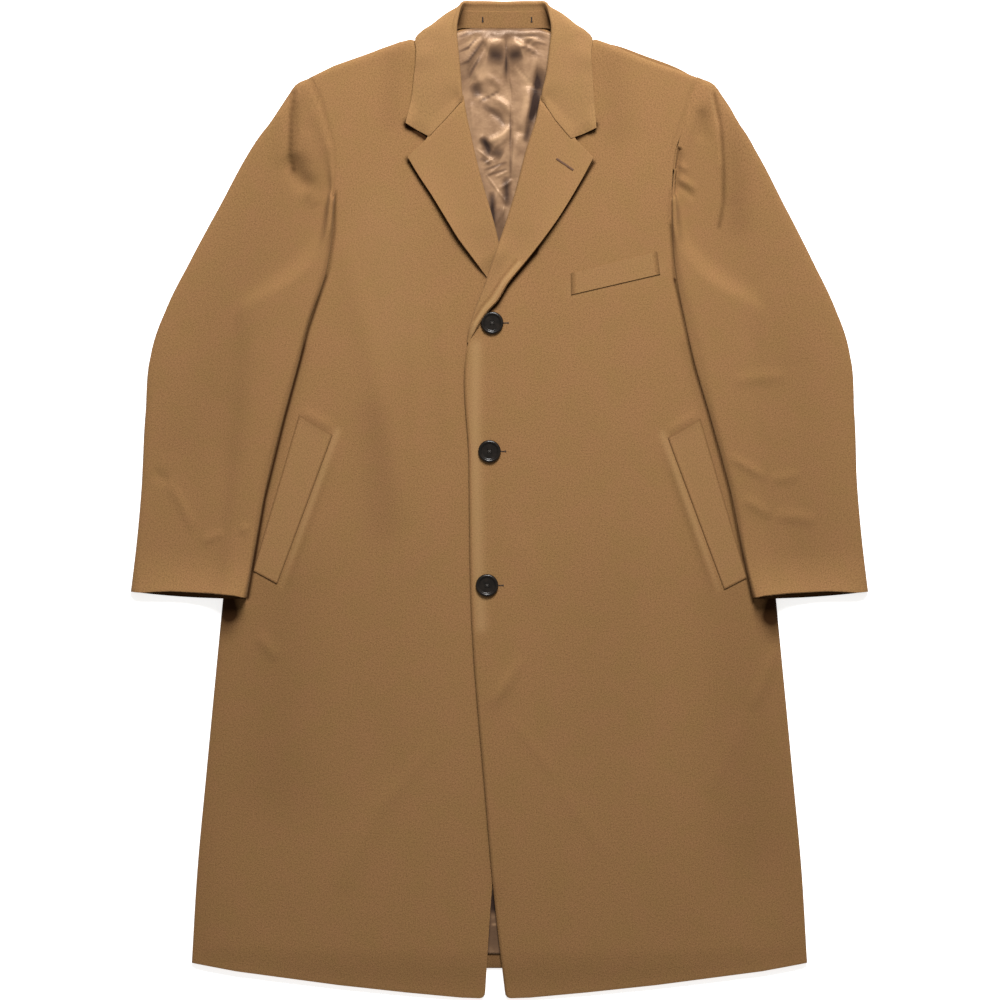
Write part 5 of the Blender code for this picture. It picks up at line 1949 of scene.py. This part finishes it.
@dataclass
class Fastening:
    """A button with its thread, and the end of the buttonhole that shows beside it."""

    number: int
    place: Point
    radius: float = 13.5
    sides: int = 72
    stand_off: float = 0.3
    # How far the buttonhole's end reaches under the button and beyond it.
    tail_under: float = 2.0
    tail: float = 6.0
    hole_radius: float = 1.0
    hole_spread: float = 2.5
    hole_depth: float = 1.2
    hole_sides: int = 14
    bar_half_width: float = 0.6
    bar_half_height: float = 0.8
    # From the middle of the dish round to the middle of the back: the distance from the middle
    # as a part of the radius, and the height.
    profile: tuple[Point, ...] = (
        (0.42, 2), (0.64, 2), (0.69, 2.3), (0.73, 2.9), (0.78, 3.5), (0.84, 3.8), (0.9, 3.6),
        (0.95, 3.1), (0.985, 2.4), (1, 1.7), (0.97, 1.1), (0.9, 0.6), (0.6, 0), (0, 0),
    )

    def make_button(self, base: float, finishes: Finishes) -> bpy.types.Object:
        """Turn the button's profile round its middle.

        Args:
            base: the height that it stands on.
            finishes: the coat's materials.

        Returns:
            The button.
        """
        form = bmesh.new()
        verts = [form.verts.new((part * self.radius, 0, height)) for part, height in self.profile]
        edges = [form.edges.new(pair) for pair in zip(verts, verts[1:])]
        bmesh.ops.spin(
            form,
            geom=verts + edges,
            cent=(0, 0, 0),
            axis=(0, 0, 1),
            angle=2 * math.pi,
            steps=self.sides,
            use_merge=True,
        )
        bmesh.ops.remove_doubles(form, verts=form.verts, dist=0.01)
        self.pierce(form)
        bmesh.ops.recalc_face_normals(form, faces=form.faces)
        return self.place_form(form, f"horn_button_{self.number}", base, finishes.horn)

    def pierce(self, form: bmesh.types.BMesh) -> None:
        """Close the dish with a floor that has four sewing holes.

        Args:
            form: the button's form.
        """
        rim = [edge for edge in form.edges if len(edge.link_faces) == 1]
        floor = rim[0].verts[0].co.z
        holes = []
        for turn in range(4):
            angle = math.pi * (turn + 0.5) / 2
            centre = (self.hole_spread * math.cos(angle), self.hole_spread * math.sin(angle), floor)
            sides, radius = self.hole_sides, self.hole_radius
            ring = bmesh.ops.create_circle(form, segments=sides, radius=radius)["verts"]
            bmesh.ops.translate(form, verts=ring, vec=centre)
            holes += [edge for edge in form.edges if edge.verts[0] in ring and edge.verts[1] in ring]
        bmesh.ops.triangle_fill(form, edges=rim + holes, use_beauty=True, normal=(0, 0, 1))
        walls = bmesh.ops.extrude_edge_only(form, edges=holes)["geom"]
        sunk = [part for part in walls if isinstance(part, bmesh.types.BMVert)]
        bmesh.ops.translate(form, verts=sunk, vec=(0, 0, -self.hole_depth))
        lines = [part for part in walls if isinstance(part, bmesh.types.BMEdge)]
        ends = [edge for edge in lines if len(edge.link_faces) == 1]
        bmesh.ops.contextual_create(form, geom=ends)

    def place_form(
        self, form: bmesh.types.BMesh, name: str, base: float, finish: bpy.types.Material
    ) -> bpy.types.Object:
        """Move a form to the button's place.

        Args:
            form: the form, around its own middle.
            name: the object's name.
            base: the height that it stands on.
            finish: its material.

        Returns:
            The form as an object.
        """
        x, y = self.place
        bmesh.ops.translate(form, verts=form.verts, vec=(x + ORIGIN[0], y + ORIGIN[1], base))
        bmesh.ops.scale(form, verts=form.verts, vec=(MM, MM, MM))
        for face in form.faces:
            face.smooth = face.normal.z < 0.999
        return new_piece(form, name, finish)

    def make_thread(self, base: float, finishes: Finishes) -> None:
        """Make the two bars of thread that hold the button through its four holes.

        Args:
            base: the height that the button stands on.
            finishes: the coat's materials.
        """
        form = bmesh.new()
        length = self.hole_spread * math.sin(math.pi / 4) * math.sqrt(2)
        for turn in (-45.0, 45.0):
            bar = bmesh.ops.create_uvsphere(form, u_segments=12, v_segments=8, radius=1.0)["verts"]
            bmesh.ops.scale(form, verts=bar, vec=(length, self.bar_half_width, self.bar_half_height))
            aslant = Matrix.Rotation(math.radians(turn), 3, "Z")
            bmesh.ops.rotate(form, verts=bar, cent=(0, 0, 0), matrix=aslant)
            bmesh.ops.translate(form, verts=bar, vec=(0, 0, self.profile[0][1]))
        # The thread's grey partly stands in for the glint at the button's middle.
        piece = self.place_form(form, f"button_thread_{self.number}", base, finishes.grey_glint_thread)
        place_piece(piece, "horn")

    def make_tail(self, stack: Stack, finishes: Finishes) -> None:
        """Make the stitched end of the buttonhole that shows beyond the button.

        Args:
            stack: what it lies on.
            finishes: the coat's materials.
        """
        x, y = self.place
        start = (x + self.radius - self.tail_under, y)
        end = (x + self.radius + self.tail, y)
        name = f"buttonhole_{self.number}"
        stitched_slit(name, start, end, stack, finishes.thread, half_width=0.8, bar=1.7)

    def make(self, stack: Stack, finishes: Finishes) -> None:
        """Make the buttonhole's end, the button and its thread.

        Args:
            stack: what it lies on.
            finishes: the coat's materials.
        """
        self.make_tail(stack, finishes)
        base = stack.top(*self.place, self.radius / 2) + self.stand_off
        button = place_piece(self.make_button(base, finishes), "horn", f"button_{self.number}")
        self.make_thread(base, finishes)
        stack.add(button)


# A stitch across a buttonhole: the distance to the next, its half width and height, how high its
# middle lies above the cloth, and how far round it the cloth is felt.
STITCH_PITCH = 0.7
STITCH_WIDTH = 0.42
STITCH_HEIGHT = 0.45
STITCH_LIFT = 0.15
STITCH_REACH = 0.5


def stitched_slit(
    name: str,
    start: Point,
    end: Point,
    stack: Stack,
    finish: bpy.types.Material,
    half_width: float = 1.0,
    bar: float = 1.0,
) -> None:
    """Make a worked buttonhole: a row of short stitches across a slit.

    Args:
        name: the piece's name.
        start: one end of the slit on the plan.
        end: the other end.
        stack: what it is sewn on.
        finish: the thread.
        half_width: half a stitch's length.
        bar: how much longer the last stitches are.
    """
    first, last = np.array(start), np.array(end)
    run = last - first
    length = float(np.linalg.norm(run))
    turn = math.atan2(run[1], run[0])
    count = max(3, round(length / STITCH_PITCH))
    form = bmesh.new()
    for step in range(count + 1):
        place = first + run * step / count
        height = stack.top(place[0], place[1], STITCH_REACH)
        stitch = bmesh.ops.create_uvsphere(form, u_segments=8, v_segments=6, radius=1.0)["verts"]
        reach = half_width * (bar if step > count - 2 else 1.0)
        bmesh.ops.scale(form, verts=stitch, vec=(STITCH_WIDTH, reach, STITCH_HEIGHT))
        bmesh.ops.rotate(form, verts=stitch, cent=(0, 0, 0), matrix=Matrix.Rotation(turn, 3, "Z"))
        where = (place[0] + ORIGIN[0], place[1] + ORIGIN[1], height + STITCH_LIFT)
        bmesh.ops.translate(form, verts=stitch, vec=where)
    bmesh.ops.scale(form, verts=form.verts, vec=(MM, MM, MM))
    for face in form.faces:
        face.smooth = True
    place_piece(new_piece(form, name, finish), "wool")


@dataclass
class Studio:
    """The floor, the lights and the camera above the coat."""

    lens: float = 200.0
    sensor: float = 36.0
    view_width: float = 1.19
    centre: Point = (0.6, 0.0)
    floor_half: float = 4.0
    floor_gap: float = 0.0003
    key_power: float = 150.0
    key_size: float = 1.1
    key_place: Place = (0.25, 2.2, 1.9)
    key_target: Place = (0.0, 0.1, 0.0)
    fill: float = 0.27
    fill_colour: Colour = (1.0, 0.97, 0.92, 1.0)

    def make_floor(self) -> None:
        """Lay the pale floor."""
        form = bmesh.new()
        bmesh.ops.create_grid(form, x_segments=1, y_segments=1, size=self.floor_half)
        paper = {
            "Base Color": (0.93, 0.93, 0.93, 1.0),
            "Roughness": 0.9,
            "Emission Color": (1.0, 1.0, 1.0, 1.0),
            "Emission Strength": 0.7,
        }
        floor = new_piece(form, SURFACE, Shader("floor_paper").finish(paper))
        floor.location.z = -self.floor_gap

    def make_light(self, name: str, power: float, size: float, place: Place, target: Place) -> None:
        """Hang a square soft light.

        Args:
            name: the light's name.
            power: its power in watts.
            size: its side in metres.
            place: where it hangs.
            target: what it is turned towards.
        """
        light = bpy.data.lights.new(name, "AREA")
        light.energy = power
        light.size = size
        lamp = bpy.data.objects.new(name, light)
        lamp.location = place
        lamp.rotation_euler = (Vector(target) - Vector(place)).to_track_quat("-Z", "Y").to_euler()
        bpy.context.scene.collection.objects.link(lamp)

    def make_lights(self) -> None:
        """Light the coat from beyond its collar, with an even fill from above."""
        self.make_light("key", self.key_power, self.key_size, self.key_place, self.key_target)
        world = bpy.data.worlds.new("studio")
        world.use_nodes = True
        background = world.node_tree.nodes["Background"]
        background.inputs["Strength"].default_value = self.fill
        background.inputs["Color"].default_value = self.fill_colour
        bpy.context.scene.world = world

    def make_camera(self) -> None:
        """Hang the camera straight above the coat."""
        data = bpy.data.cameras.new("camera")
        data.lens = self.lens
        data.sensor_width = self.sensor
        camera = bpy.data.objects.new("camera", data)
        height = self.view_width * self.lens / self.sensor
        x, y = (place * MM for place in self.centre)
        camera.location = (x + ORIGIN[0] * MM, y + ORIGIN[1] * MM, height)
        bpy.context.scene.collection.objects.link(camera)
        bpy.context.scene.camera = camera

    def make(self) -> None:
        """Set up the whole studio."""
        self.make_floor()
        self.make_lights()
        self.make_camera()
        settings = bpy.context.scene.view_settings
        settings.view_transform = "Standard"
        settings.look = "None"
        settings.exposure = 0.0


def main() -> None:
    """Lay the coat down piece by piece, from the back up to the buttons, and light it."""
    logging.basicConfig(level=logging.INFO, format="%(message)s")
    finishes = Finishes()
    stack = Stack()
    back = Back()
    back.make_panel(stack, finishes)
    back.make_lining(stack, finishes)
    for side, lapel in ((Side.RIGHT, RIGHT_LAPEL), (Side.LEFT, LEFT_LAPEL)):
        Front(side).make(stack, back, finishes)
        lapel.make(stack, finishes)
    for welt in WELTS:
        welt.make(stack, finishes)
    collar = Collar()
    collar.make_stand(stack, finishes)
    collar.make_collar(stack, finishes)
    for side in Side:
        sleeve = Sleeve(side)
        sleeve.make_under(stack, finishes)
        sleeve.make_upper(stack, finishes)
    for number, place in enumerate(BUTTONS, start=1):
        Fastening(number, place).make(stack, finishes)
    stitched_slit("lapel_buttonhole", *LAPEL_HOLE, stack, finishes.warm_thread, half_width=1.6)
    for number, x in enumerate(TACK_X, start=1):
        start, end = ((x, y) for y in TACK_Y)
        name = f"stand_tack_{number}"
        stitched_slit(name, start, end, stack, finishes.thread, half_width=0.9, bar=1.5)
    Studio().make()


if __name__ == "__main__":
    main()
